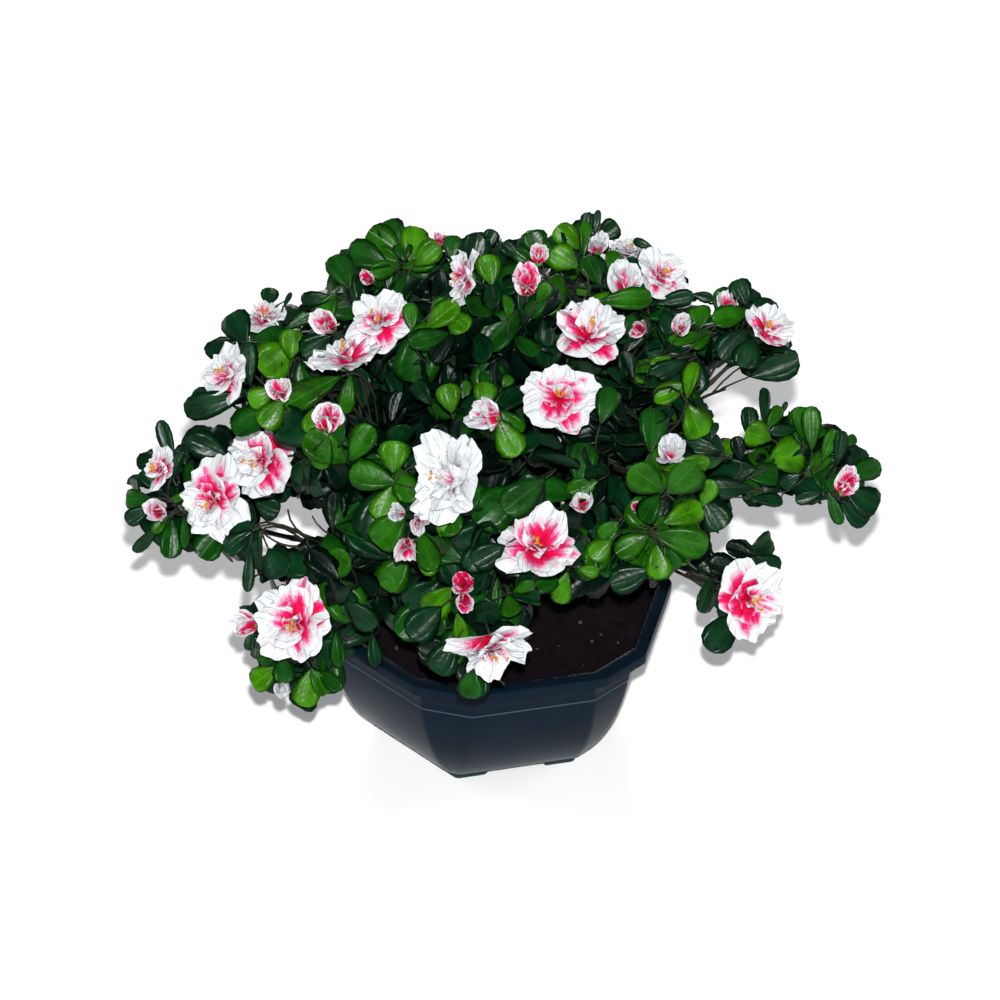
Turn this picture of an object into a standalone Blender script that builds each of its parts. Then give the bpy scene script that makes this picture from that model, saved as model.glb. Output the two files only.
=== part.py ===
"""Artificial azalea bush in its hexagonal plastic pot.

The pot is a bowl with six sides and cut corners, standing on six small feet. It is filled
with soil, and a short stem stands in the middle of the soil. Tapering boughs leave the stem,
one for each mass of foliage, and each ends where it enters its mass. The masses are uneven
rounded solids that share the crown between them, parted by narrow gaps.

Metres, +Z up. The origin is on the ground under the middle of the pot.
"""
import math

import bmesh
import bpy
from mathutils import Vector, noise
from mathutils.bvhtree import BVHTree

# ---------------------------------------------------------------- driving dimensions
GAP = 0.0003              # clearance between solids that touch on the real plant

POT_TURN = math.radians(-103.4)   # direction of the pot's first corner
POT_HEIGHT = 0.110
FOOT_SIDE = 0.090         # side of the hexagon that the pot stands on
FOOT_HEIGHT = 0.005
FOOT_ARCH = 0.0024        # how far the middle of each side is raised between two feet
FOOT_ARCH_SHARE = 0.53    # share of a side that the arch takes
FOOT_CUT = 0.0008         # depth by which a corner of the foot is cut off
RIDGE_HEIGHT = 0.082      # moulded line round the wall
RIDGE_STEP = 0.0008
RIDGE_APOTHEM = 0.114     # middle of the pot to the flat of a long side
RIDGE_CUT = 0.0105        # depth by which a corner is cut off
COLLAR_HEIGHT = 0.0084
COLLAR_APOTHEM = 0.1196   # wall just under the collar
COLLAR_CUT = 0.0121
COLLAR_OVERHANG = 0.0069
WALL = 0.003
FLOOR_THICKNESS = 0.007
BOWL_RINGS = 8
RING_CROWDING = 1.5       # rings lie closer together towards the foot
SWELL_RISE = 1.55         # the bowl widens fast above the foot and slowly below the ridge
SWELL_ROUNDNESS = 0.67
CUT_GROWTH = 0.55

SOIL_BELOW_RIM = 0.008
SOIL_CLEARANCE = 0.00045
LINING_HEIGHTS = (0.022, 0.038, 0.060)   # rings of the pot's inside and of the soil

STEM_TOP = 0.150
STEM_FOOT_RADIUS = 0.0165
STEM_FLARE_RADIUS = 0.0140
STEM_FLARE_HEIGHT = 0.006    # above the soil
STEM_NECK_RADIUS = 0.0125
STEM_NECK_HEIGHT = 0.018
STEM_TOP_RADIUS = 0.0110
STEM_SIDES = 24

BOUGH_SIDES_RESOLUTION = 2   # gives a tube of eight sides
BOUGH_POINTS = 7
BOUGH_START_RADIUS = 0.0024
BOUGH_END_RADIUS = 0.0014
TOP_RING_RADIUS = 0.0072     # where the upright boughs stand on the stem's top
UPRIGHT_BEND_SHARE = 0.38    # how far along an upright bough its bend lies
UPRIGHT_BEND_LIFT = 0.012
CROWN_BEND_HEIGHT = 0.205
TRIM_STEPS = 800             # steps in which a bough is trimmed to the stem and its mass
RIM_POINTS = 12              # points round a bough's end that have to be clear

MASS_SUBDIVISIONS = 3
MASS_GAP = 0.0006
LUMP_SIZE = 0.26             # share of the radius that the large lumps add or take
LUMP_SPACING = 1.6
GRAIN_SIZE = 0.14            # the same for the small lumps
GRAIN_SPACING = 4.0
LUMP_SHIFT = Vector((7.3, 3.1, 5.7))   # gives each mass lumps of its own

# Foliage masses: name, middle, half sizes along X, Y and Z.
MASSES = (
    ("crown", (-0.005, 0.015, 0.316), (0.090, 0.082, 0.060)),
    ("upper_right", (0.098, 0.072, 0.281), (0.070, 0.072, 0.063)),
    ("upper_back", (0.028, 0.138, 0.278), (0.082, 0.068, 0.066)),
    ("upper_left", (-0.088, 0.092, 0.284), (0.068, 0.070, 0.064)),
    ("upper_front_left", (-0.092, -0.048, 0.262), (0.074, 0.070, 0.064)),
    ("upper_front", (-0.005, -0.090, 0.245), (0.076, 0.068, 0.064)),
    ("upper_front_right", (0.085, -0.042, 0.262), (0.070, 0.070, 0.062)),
    ("lower_right", (0.136, 0.000, 0.200), (0.054, 0.066, 0.054)),
    ("lower_back_right", (0.108, 0.142, 0.195), (0.074, 0.066, 0.066)),
    ("lower_back", (-0.015, 0.160, 0.185), (0.080, 0.048, 0.064)),
    ("lower_back_left", (-0.132, 0.132, 0.200), (0.078, 0.072, 0.066)),
    ("lower_left", (-0.160, 0.035, 0.222), (0.062, 0.072, 0.064)),
    ("lower_front_left", (-0.108, -0.092, 0.200), (0.070, 0.064, 0.052)),
    ("lower_front", (-0.008, -0.158, 0.176), (0.052, 0.050, 0.046)),
    ("lower_front_right", (0.076, -0.084, 0.208), (0.062, 0.052, 0.040)),
    ("tip_left", (-0.221, -0.020, 0.180), (0.048, 0.052, 0.050)),
    ("tip_low_left", (-0.138, -0.108, 0.124), (0.044, 0.046, 0.044)),
    ("tip_right", (0.227, 0.040, 0.209), (0.048, 0.046, 0.042)),
    ("tip_low_right", (0.176, -0.025, 0.133), (0.042, 0.044, 0.042)),
    ("tip_upper_right", (0.180, 0.095, 0.266), (0.042, 0.042, 0.044)),
)

# Upright boughs stand on the stem's top: mass, direction round the stem in degrees.
UPRIGHT_BOUGHS = (
    ("upper_right", 35),
    ("upper_back", 80),
    ("upper_left", 140),
    ("upper_front_left", 205),
    ("upper_front", 265),
    ("upper_front_right", 325),
)

# Spreading boughs leave the stem's side: mass, height on the stem, the point they pass through.
SPREADING_BOUGHS = (
    ("lower_right", 0.139, (0.055, 0.002, 0.170)),
    ("lower_back_right", 0.139, (0.045, 0.060, 0.165)),
    ("lower_back", 0.139, (-0.006, 0.070, 0.165)),
    ("lower_back_left", 0.139, (-0.055, 0.055, 0.168)),
    ("lower_left", 0.139, (-0.065, 0.016, 0.175)),
    ("lower_front_left", 0.139, (-0.045, -0.038, 0.165)),
    ("lower_front", 0.139, (-0.003, -0.060, 0.152)),
    ("lower_front_right", 0.139, (0.030, -0.036, 0.160)),
    ("tip_upper_right", 0.126, (0.094, 0.066, 0.182)),
    ("tip_left", 0.122, (-0.110, -0.012, 0.148)),
    ("tip_low_left", 0.122, (-0.062, -0.050, 0.134)),
    ("tip_right", 0.122, (0.122, 0.042, 0.143)),
    ("tip_low_right", 0.122, (0.085, -0.006, 0.149)),
)


# ---------------------------------------------------------------- scene, materials
for old in list(bpy.data.objects):
    bpy.data.objects.remove(old, do_unlink=True)

plant = bpy.data.collections.new("artificial_azalea")
cutters = bpy.data.collections.new("cutters")
for group in (plant, cutters):
    bpy.context.scene.collection.children.link(group)


def finish(name, colour, roughness, metallic=0.0):
    """A Principled material in one colour."""
    material = bpy.data.materials.new(name)
    material.use_nodes = True
    shader = material.node_tree.nodes["Principled BSDF"]
    shader.inputs["Base Color"].default_value = (*colour, 1.0)
    shader.inputs["Roughness"].default_value = roughness
    shader.inputs["Metallic"].default_value = metallic
    return material


POT_PLASTIC = finish("pot_plastic", (0.012, 0.018, 0.027), 0.22)
SOIL_CRUMB = finish("soil_crumb", (0.016, 0.009, 0.010), 0.95)
BARK = finish("bark", (0.075, 0.055, 0.025), 0.70)
LEAVES = finish("leaves", (0.020, 0.110, 0.018), 0.35)


def place(name, mesh, material, collection=plant):
    """Put a mesh into the scene as one named object."""
    piece = bpy.data.objects.new(name, mesh)
    piece.data.materials.append(material)
    collection.objects.link(piece)
    return piece


# ---------------------------------------------------------------- pot and soil
def cut_hexagon(apothem, cut, height):
    """Twelve corners of a hexagon whose own corners are cut off to a depth of cut."""
    corners = []
    reach = apothem / math.cos(math.pi / 6) - cut
    half = cut * math.tan(math.pi / 3)
    for k in range(6):
        angle = POT_TURN + k * math.pi / 3
        out = Vector((math.cos(angle), math.sin(angle), 0.0))
        along = Vector((-out.y, out.x, 0.0))
        for side in (-half, half):
            corners.append(out * reach + along * side + Vector((0.0, 0.0, height)))
    return corners


def loft(name, rings, material):
    """Closed solid through a list of rings with equal numbers of corners."""
    work = bmesh.new()
    loops = [[work.verts.new(corner) for corner in ring] for ring in rings]
    count = len(rings[0])
    for lower, upper in zip(loops, loops[1:]):
        for i in range(count):
            j = (i + 1) % count
            work.faces.new((lower[i], lower[j], upper[j], upper[i]))
    work.faces.new(reversed(loops[0]))
    work.faces.new(loops[-1])
    bmesh.ops.recalc_face_normals(work, faces=work.faces)
    mesh = bpy.data.meshes.new(name)
    work.to_mesh(mesh)
    work.free()
    return place(name, mesh, material)


foot_apothem = FOOT_SIDE * math.cos(math.pi / 6)


def bowl_section(height):
    """Apothem and corner cut of the bowl's outside, from the foot to the moulded line."""
    share = max(0.0, (height - FOOT_HEIGHT) / (RIDGE_HEIGHT - FOOT_HEIGHT))
    swell = (1 - (1 - share) ** SWELL_RISE) ** SWELL_ROUNDNESS
    apothem = foot_apothem + (RIDGE_APOTHEM - foot_apothem) * swell
    cut = FOOT_CUT + (RIDGE_CUT - FOOT_CUT) * share ** CUT_GROWTH
    return apothem, cut


def inner_section(height):
    """Apothem and corner cut of the pot's inside at a height above the ground."""
    if height < RIDGE_HEIGHT:
        apothem, cut = bowl_section(height)
    else:
        share = (height - RIDGE_HEIGHT) / (POT_HEIGHT - RIDGE_HEIGHT)
        apothem = RIDGE_APOTHEM + (COLLAR_APOTHEM - RIDGE_APOTHEM) * share
        cut = RIDGE_CUT + (COLLAR_CUT - RIDGE_CUT) * share
    return apothem - WALL, cut


collar_base = POT_HEIGHT - COLLAR_HEIGHT
floor_top = FOOT_HEIGHT + FLOOR_THICKNESS
bowl_heights = [FOOT_HEIGHT + (RIDGE_HEIGHT - FOOT_HEIGHT) * (k / BOWL_RINGS) ** RING_CROWDING
                for k in range(1, BOWL_RINGS + 1)]
inner_heights = [POT_HEIGHT, RIDGE_HEIGHT, *reversed(LINING_HEIGHTS), floor_top]

outside = [cut_hexagon(foot_apothem, FOOT_CUT, h) for h in (0.0, FOOT_HEIGHT)]
outside += [cut_hexagon(*bowl_section(h), h) for h in bowl_heights]
outside += [
    cut_hexagon(RIDGE_APOTHEM + RIDGE_STEP, RIDGE_CUT, RIDGE_HEIGHT + RIDGE_STEP),
    cut_hexagon(COLLAR_APOTHEM, COLLAR_CUT, collar_base),
    cut_hexagon(COLLAR_APOTHEM + COLLAR_OVERHANG, COLLAR_CUT, collar_base),
    cut_hexagon(COLLAR_APOTHEM + COLLAR_OVERHANG, COLLAR_CUT, POT_HEIGHT),
]
inside = [cut_hexagon(*inner_section(h), h) for h in inner_heights]
pot = loft("pot", outside + inside, POT_PLASTIC)

# Three bars under the foot, one across each pair of sides, leave a foot at each corner.
for k in range(3):
    bpy.ops.mesh.primitive_cube_add(size=1.0)
    bar = bpy.context.object
    bar.name = f"arch_cutter_{k}"
    bar.scale = (FOOT_SIDE * 3, FOOT_SIDE * FOOT_ARCH_SHARE, 2 * FOOT_ARCH)
    bar.rotation_euler.z = POT_TURN + math.pi / 6 + k * math.pi / 3
    bar.hide_render = True
    bar.display_type = "WIRE"
    for home in list(bar.users_collection):
        home.objects.unlink(bar)
    cutters.objects.link(bar)
    arch = pot.modifiers.new(f"arch_{k}", "BOOLEAN")
    arch.operation = "DIFFERENCE"
    arch.solver = "EXACT"
    arch.object = bar

soil_top = POT_HEIGHT - SOIL_BELOW_RIM
soil_heights = [floor_top + GAP, *LINING_HEIGHTS, RIDGE_HEIGHT, soil_top]


def soil_ring(height):
    """A ring of the soil, clear of the pot's inside."""
    apothem, cut = inner_section(height)
    return cut_hexagon(apothem - SOIL_CLEARANCE, cut, height)


loft("soil", [soil_ring(h) for h in soil_heights], SOIL_CRUMB)


# ---------------------------------------------------------------- stem
def turned(name, profile, sides, material):
    """Solid of revolution about Z, from a profile of radius and height, top to bottom."""
    points = [(radius, 0.0, height) for radius, height in profile]
    mesh = bpy.data.meshes.new(name)
    mesh.from_pydata(points, [(i, i + 1) for i in range(len(points) - 1)], [])
    piece = place(name, mesh, material)
    screw = piece.modifiers.new("turn", "SCREW")
    screw.steps = sides
    screw.render_steps = sides
    screw.use_merge_vertices = True
    screw.merge_threshold = 0.00001
    return piece


stem_foot = soil_top + GAP
stem_profile = [
    (0.0, STEM_TOP),
    (STEM_TOP_RADIUS, STEM_TOP),
    (STEM_NECK_RADIUS, stem_foot + STEM_NECK_HEIGHT),
    (STEM_FLARE_RADIUS, stem_foot + STEM_FLARE_HEIGHT),
    (STEM_FOOT_RADIUS, stem_foot),
    (0.0, stem_foot),
]
stem = turned("stem", stem_profile, STEM_SIDES, BARK)


# ---------------------------------------------------------------- foliage masses
def reach_along(half_sizes, direction):
    """Distance from an ellipsoid's middle to its surface along a direction."""
    return 1.0 / math.sqrt(sum((d / h) ** 2 for d, h in zip(direction, half_sizes)))


def parting_planes(index):
    """Planes that part one mass from each other mass: normal, distance from its middle."""
    planes = []
    middle = Vector(MASSES[index][1])
    for other, (_, centre, half_sizes) in enumerate(MASSES):
        if other == index:
            continue
        step = Vector(centre) - middle
        towards = step.normalized()
        own = reach_along(MASSES[index][2], towards)
        theirs = reach_along(half_sizes, towards)
        planes.append((towards, step.length * own / (own + theirs) - MASS_GAP / 2))
    return planes


def foliage_mass(index):
    """Uneven rounded solid: an ellipsoid with lumps, cut flat where it meets its neighbours."""
    name, middle, half_sizes = MASSES[index]
    planes = parting_planes(index)
    own_lumps = LUMP_SHIFT * index
    work = bmesh.new()
    bmesh.ops.create_icosphere(work, subdivisions=MASS_SUBDIVISIONS, radius=1.0)
    for corner in work.verts:
        out = corner.co.normalized()
        swell = 1.0 + LUMP_SIZE * noise.noise(out * LUMP_SPACING + own_lumps)
        swell += GRAIN_SIZE * noise.noise(out * GRAIN_SPACING - own_lumps)
        spoke = Vector([o * h * swell for o, h in zip(out, half_sizes)])
        for normal, distance in planes:
            beyond = spoke.dot(normal)
            if beyond > distance:
                spoke *= distance / beyond
        corner.co = Vector(middle) + spoke
    mesh = bpy.data.meshes.new(name)
    work.to_mesh(mesh)
    work.free()
    return place(f"mass_{name}", mesh, LEAVES)


masses = {entry[0]: foliage_mass(i) for i, entry in enumerate(MASSES)}


# ---------------------------------------------------------------- boughs
def surface_of(piece):
    """Search tree over a piece's evaluated mesh."""
    depsgraph = bpy.context.evaluated_depsgraph_get()
    return BVHTree.FromObject(piece, depsgraph)


def is_clear(tree, points):
    """True where every point lies outside a closed surface by at least the gap."""
    for point in points:
        near, normal, _, distance = tree.find_nearest(point)
        if distance < GAP or (point - near).dot(normal) < 0.0:
            return False
    return True


def curve_point(start, bend, end, share):
    """Point of the smooth curve that leaves start, passes through bend and aims at end."""
    pull = bend * 2 - (start + end) * 0.5
    return start * (1 - share) ** 2 + pull * 2 * share * (1 - share) + end * share ** 2


def end_ring(start, bend, end, share, radius):
    """Points round the limb's end face at a share of its way."""
    here = curve_point(start, bend, end, share)
    along = (curve_point(start, bend, end, share + 0.01) - here).normalized()
    aside = along.orthogonal().normalized()
    other = along.cross(aside)
    turns = [k * math.tau / RIM_POINTS for k in range(RIM_POINTS)]
    return [here] + [here + (aside * math.cos(t) + other * math.sin(t)) * radius for t in turns]


def first_clear(tree, start, bend, end, shares, radius):
    """The first of the shares at which the limb's end face is clear of a surface."""
    for share in shares:
        if is_clear(tree, end_ring(start, bend, end, share, radius)):
            return share
    return shares[-1]


def bough(name, start, bend, stem_tree):
    """Tapering limb from the stem to the surface of its mass."""
    middle = Vector(next(entry[1] for entry in MASSES if entry[0] == name))
    steps = [k / TRIM_STEPS for k in range(TRIM_STEPS)]
    low = first_clear(stem_tree, start, bend, middle, steps, BOUGH_START_RADIUS)
    mass_tree = surface_of(masses[name])
    high = first_clear(mass_tree, start, bend, middle, steps[::-1], BOUGH_END_RADIUS)
    line = bpy.data.curves.new(f"bough_{name}", "CURVE")
    line.dimensions = "3D"
    line.bevel_depth = 1.0
    line.bevel_resolution = BOUGH_SIDES_RESOLUTION
    line.use_fill_caps = True
    spline = line.splines.new("POLY")
    spline.points.add(BOUGH_POINTS - 1)
    for k, point in enumerate(spline.points):
        share = low + (high - low) * k / (BOUGH_POINTS - 1)
        point.co = (*curve_point(start, bend, middle, share), 1.0)
        taper = k / (BOUGH_POINTS - 1)
        point.radius = BOUGH_START_RADIUS + (BOUGH_END_RADIUS - BOUGH_START_RADIUS) * taper
    return place(f"bough_{name}", line, BARK)


stem_tree = surface_of(stem)
centre_of = {name: Vector(middle) for name, middle, _ in MASSES}

bough("crown", Vector((0.0, 0.0, STEM_TOP)), Vector((0.0, 0.0, CROWN_BEND_HEIGHT)), stem_tree)
for name, degrees in UPRIGHT_BOUGHS:
    turn = math.radians(degrees)
    foot = Vector((math.cos(turn), math.sin(turn), 0.0)) * TOP_RING_RADIUS
    foot.z = STEM_TOP
    bend = foot.lerp(centre_of[name], UPRIGHT_BEND_SHARE)
    bend.z += UPRIGHT_BEND_LIFT
    bough(name, foot, bend, stem_tree)
for name, height, via in SPREADING_BOUGHS:
    bend = Vector(via)
    outwards = Vector((bend.x, bend.y, 0.0)).normalized()
    foot = outwards * STEM_TOP_RADIUS
    foot.z = height
    bough(name, foot, bend, stem_tree)
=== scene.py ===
"""Looks of the artificial azalea bush in its hexagonal plastic pot.

Metres, +Z up, with the origin on the ground under the middle of the pot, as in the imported
model. The sections follow the plant as it is put together: the view, the pot, the soil, the
stem and its boughs, the places of the sprays, the twigs, the leaves, the blooms, and last the
floor and the light.
"""
import itertools
import math

import bpy
import numpy as np
from mathutils import Matrix, Vector
from mathutils.bvhtree import BVHTree


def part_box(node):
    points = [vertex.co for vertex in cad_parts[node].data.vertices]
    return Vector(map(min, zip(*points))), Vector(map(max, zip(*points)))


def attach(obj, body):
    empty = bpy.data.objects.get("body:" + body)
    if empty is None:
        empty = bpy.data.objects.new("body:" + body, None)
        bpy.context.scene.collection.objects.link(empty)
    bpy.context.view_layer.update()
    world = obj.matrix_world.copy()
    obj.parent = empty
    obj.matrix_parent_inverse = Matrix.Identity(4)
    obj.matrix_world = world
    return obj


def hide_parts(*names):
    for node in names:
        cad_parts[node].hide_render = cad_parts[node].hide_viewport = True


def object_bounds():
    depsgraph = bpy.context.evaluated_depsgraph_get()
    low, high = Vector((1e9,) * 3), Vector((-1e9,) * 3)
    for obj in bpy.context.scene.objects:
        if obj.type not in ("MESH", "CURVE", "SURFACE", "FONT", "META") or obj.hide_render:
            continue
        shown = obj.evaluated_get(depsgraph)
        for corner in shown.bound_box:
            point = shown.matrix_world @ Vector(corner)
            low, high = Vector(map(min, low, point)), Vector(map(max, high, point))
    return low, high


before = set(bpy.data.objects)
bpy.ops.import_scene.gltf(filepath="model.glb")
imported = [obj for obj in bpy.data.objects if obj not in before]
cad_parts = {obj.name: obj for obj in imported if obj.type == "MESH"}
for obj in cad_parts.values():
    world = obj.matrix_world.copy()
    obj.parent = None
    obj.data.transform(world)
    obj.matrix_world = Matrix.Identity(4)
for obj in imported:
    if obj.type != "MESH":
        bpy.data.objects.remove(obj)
cad_box = np.array(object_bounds())


# ---------------------------------------------------------------- view
# A long lens looks down on the plant from in front, rolled a little. It comes first, because
# the sprays and blooms that face the front are placed along its lines of sight.
PICTURE = 1000                 # the picture is this many pixels wide and high
FOCAL = 2400.0                 # focal length in pixels
SENSOR = 36.0                  # width in millimetres
VIEW_END = 60.0
EYE = np.array((0.0036, -1.4774, 1.0957))
DIP = math.radians(31.582)
ROLL = math.radians(2.069)

ahead = np.array((0.0, math.cos(DIP), -math.sin(DIP)))
level = np.array((1.0, 0.0, 0.0))
steep = np.array((0.0, math.sin(DIP), math.cos(DIP)))
right = level * math.cos(ROLL) + steep * math.sin(ROLL)
up = steep * math.cos(ROLL) - level * math.sin(ROLL)

lens = bpy.data.cameras.new("view")
lens.sensor_width = SENSOR
lens.lens = FOCAL / PICTURE * SENSOR
lens.clip_end = VIEW_END
eye = bpy.data.objects.new("view", lens)
axes = np.stack((right, up, -ahead), 1)
eye.matrix_world = Matrix([[*row, place] for row, place in zip(axes, EYE)] + [[0.0, 0.0, 0.0, 1.0]])
bpy.context.scene.collection.objects.link(eye)
bpy.context.scene.camera = eye
bpy.context.scene.view_settings.view_transform = "Standard"


def sight(pixel):
    """Unit direction of the line of sight through a pixel: the way ahead, plus the pixel's
    offset from the middle over the focal length, to the right and down."""
    across = (pixel[0] - PICTURE / 2) / FOCAL
    down = (pixel[1] - PICTURE / 2) / FOCAL
    way = ahead + right * across - up * down
    return way / np.linalg.norm(way)


def depth_of(points):
    """How far ahead of the eye the points lie."""
    return (points - EYE) @ ahead


def pixels_of(points):
    """Pixels at which points appear: their offsets to the right and down over their depth."""
    offset = points - EYE
    depth = depth_of(points)
    return np.stack((PICTURE / 2 + FOCAL * (offset @ right) / depth,
                     PICTURE / 2 - FOCAL * (offset @ up) / depth), -1)


def facing(lean):
    """Unit direction that leans by lean to the right and up, and is otherwise towards the eye."""
    towards = math.sqrt(max(0.0, 1.0 - lean[0] ** 2 - lean[1] ** 2))
    return right * lean[0] + up * lean[1] - ahead * towards


# ---------------------------------------------------------------- pot
# A six-sided bowl pot with cut corners, injection moulded in glossy dark blue-grey plastic.
# It has a foot with six arches, a moulded ridge round the wall and a broad collar.
POT_TURN = math.radians(-103.4)
POT_HEIGHT = 0.110
FOOT_APOTHEM = 0.090 * math.cos(math.pi / 6)
FOOT_HEIGHT = 0.005
FOOT_ARCH = 0.0024
FOOT_CUT = 0.0008
RIDGE_HEIGHT = 0.082
RIDGE_STEP = 0.0008
RIDGE_APOTHEM = 0.114
RIDGE_CUT = 0.0105
COLLAR_BASE = 0.1016
COLLAR_APOTHEM = 0.1196
COLLAR_CUT = 0.0121
COLLAR_OVERHANG = 0.0069
WALL = 0.003
BOWL_RINGS = 26
UPPER_HEIGHTS = (0.0850, 0.0900, 0.0960, COLLAR_BASE - 0.0012)
INNER_HEIGHTS = (0.102, 0.095, RIDGE_HEIGHT, 0.060, 0.038, 0.022, 0.012)   # the last is the floor
POT_ROUNDING = 0.0022          # radius of the softened upright edges
ARC = 5                        # points round each upright edge
LONG_SHARES = np.array((0.012, 0.12, 0.222, 0.25, 0.5, 0.75, 0.778, 0.88, 0.988))
SHORT_SHARES = np.array((0.05, 0.95))
ARCHED = (LONG_SHARES > 0.24) & (LONG_SHARES < 0.76)
POT_CREASE = math.radians(38)


class Tone:
    """A value in a material's node tree. Sums, differences and products with numbers or with
    other values, on either side of it, add Math nodes."""

    def __init__(self, finish, socket):
        self.finish = finish
        self.socket = socket

    def maths(self, operation, *terms):
        return self.finish.add("ShaderNodeMath", {"operation": operation}, dict(enumerate(terms)))

    def __add__(self, other):
        return self.maths("ADD", self, other)

    def __radd__(self, other):
        return self.maths("ADD", other, self)

    def __sub__(self, other):
        return self.maths("SUBTRACT", self, other)

    def __rsub__(self, other):
        return self.maths("SUBTRACT", other, self)

    def __mul__(self, other):
        return self.maths("MULTIPLY", self, other)

    def __rmul__(self, other):
        return self.maths("MULTIPLY", other, self)

    def __abs__(self):
        return self.maths("ABSOLUTE", self)

    def sine(self):
        return self.maths("SINE", self)

    def least(self, other):
        return self.maths("MINIMUM", self, other)


class Finish:
    """A material with a Principled shader. add() makes any node: its settings are set first,
    then its sockets take values or links."""

    def __init__(self, name, **constants):
        self.material = bpy.data.materials.new(name)
        self.material.use_nodes = True
        self.tree = self.material.node_tree
        self.shader = self.tree.nodes["Principled BSDF"]
        for socket, value in constants.items():
            self.shader.inputs[socket.replace("_", " ")].default_value = value

    def add(self, kind, settings=None, sockets=None, output=0):
        node = self.tree.nodes.new(kind)
        for name, value in (settings or {}).items():
            setattr(node, name, value)
        for name, value in (sockets or {}).items():
            if isinstance(value, Tone):
                self.tree.links.new(value.socket, node.inputs[name])
            else:
                node.inputs[name].default_value = value
        return Tone(self, node.outputs[output])

    def place(self, output="Object"):
        return self.add("ShaderNodeTexCoord", output=output)

    def parts(self, vector):
        """The three coordinates of a vector."""
        split = self.add("ShaderNodeSeparateXYZ", sockets={0: vector}).socket.node
        return [Tone(self, socket) for socket in split.outputs]

    def grain(self, where, scale, detail=3.0, roughness=0.55, distortion=0.0):
        """Soft noise from 0 to 1, with its patches about one over scale apart."""
        return self.add("ShaderNodeTexNoise", sockets={
            "Vector": where, "Scale": scale, "Detail": detail, "Roughness": roughness,
            "Distortion": distortion})

    def step(self, value, low, high):
        """0 below low, 1 above high, and smooth between them."""
        return self.add("ShaderNodeMapRange", {"interpolation_type": "SMOOTHSTEP"},
                        {"Value": value, "From Min": low, "From Max": high})

    def between(self, factor, first, second):
        """Mix of two colours."""
        colours = [(*colour, 1.0) if isinstance(colour, tuple) else colour for colour in (first, second)]
        return self.add("ShaderNodeMix", {"data_type": "RGBA"}, {0: factor, 6: colours[0], 7: colours[1]},
                        output=2)

    def wear(self, socket, value):
        self.tree.links.new(value.socket, self.shader.inputs[socket])

    def mottle(self, scale, first, second):
        """Base colour that wanders from one colour to another with the grain, which it gives back."""
        grain = self.grain(self.place(), scale)
        self.wear("Base Color", self.between(grain, first, second))
        return grain

    def relief(self, height, distance, strength=1.0):
        """Bump on the shader's normal, with the height in units of distance metres."""
        self.wear("Normal", self.add("ShaderNodeBump", sockets={
            "Height": height, "Distance": distance, "Strength": strength}))


def piece(name, points, faces, finishes, slot, kinds=None, chart=None, fade=None, crease=None):
    """Mesh object on the root body. faces is a list of arrays of corners, kinds gives each
    face's finish, chart each point's place on the piece's own map, and fade a value of each
    point that its finishes may read."""
    mesh = bpy.data.meshes.new(name)
    points = np.asarray(points).reshape(-1, 3)
    corners = np.concatenate([group.ravel() for group in faces]).astype(np.int32)
    sizes = np.concatenate([np.full(len(group), group.shape[1]) for group in faces])
    mesh.vertices.add(len(points))
    mesh.vertices.foreach_set("co", points.astype(np.float32).ravel())
    mesh.loops.add(len(corners))
    mesh.loops.foreach_set("vertex_index", corners)
    mesh.polygons.add(len(sizes))
    mesh.polygons.foreach_set("loop_start", (np.cumsum(sizes) - sizes).astype(np.int32))
    for finish in finishes:
        mesh.materials.append(finish.material)
    if kinds is not None:
        mesh.polygons.foreach_set("material_index", kinds.astype(np.int32))
    if chart is not None:
        layer = mesh.uv_layers.new(name="chart")
        layer.uv.foreach_set("vector", chart.reshape(-1, 2)[corners].astype(np.float32).ravel())
    if fade is not None:
        values = mesh.attributes.new("fade", "FLOAT", "POINT")
        values.data.foreach_set("value", fade.astype(np.float32).ravel())
    mesh.update(calc_edges=True)
    mesh.shade_smooth()
    if crease is not None:
        mesh.set_sharp_from_angle(angle=crease)
    made = bpy.data.objects.new(name, mesh)
    bpy.context.scene.collection.objects.link(made)
    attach(made, "root")
    return made


def copies(faces, count, step):
    """Faces of count shapes alike, whose points follow one another step by step."""
    return (faces[None] + (np.arange(count) * step)[:, None, None]).reshape(-1, faces.shape[-1])


def tube_faces(count, rings, sides):
    """Faces of closed tubes: quads between neighbouring rings, and a fan of triangles to a
    pole at each end. A tube's points are its rings one after another and then its two poles."""
    ring, side = np.meshgrid(np.arange(rings - 1), np.arange(sides), indexing="ij")
    after = (side + 1) % sides
    low = ring * sides
    quads = np.stack((low + side, low + after, low + sides + after, low + sides + side), -1)
    here = np.arange(sides)
    then = (here + 1) % sides
    foot = np.full(sides, rings * sides)
    head = (rings - 1) * sides
    fans = np.concatenate((np.stack((foot, then, here), -1),
                           np.stack((foot + 1, head + here, head + then), -1)))
    step = rings * sides + 2
    return [copies(quads.reshape(-1, 4), count, step), copies(fans, count, step)]


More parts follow.
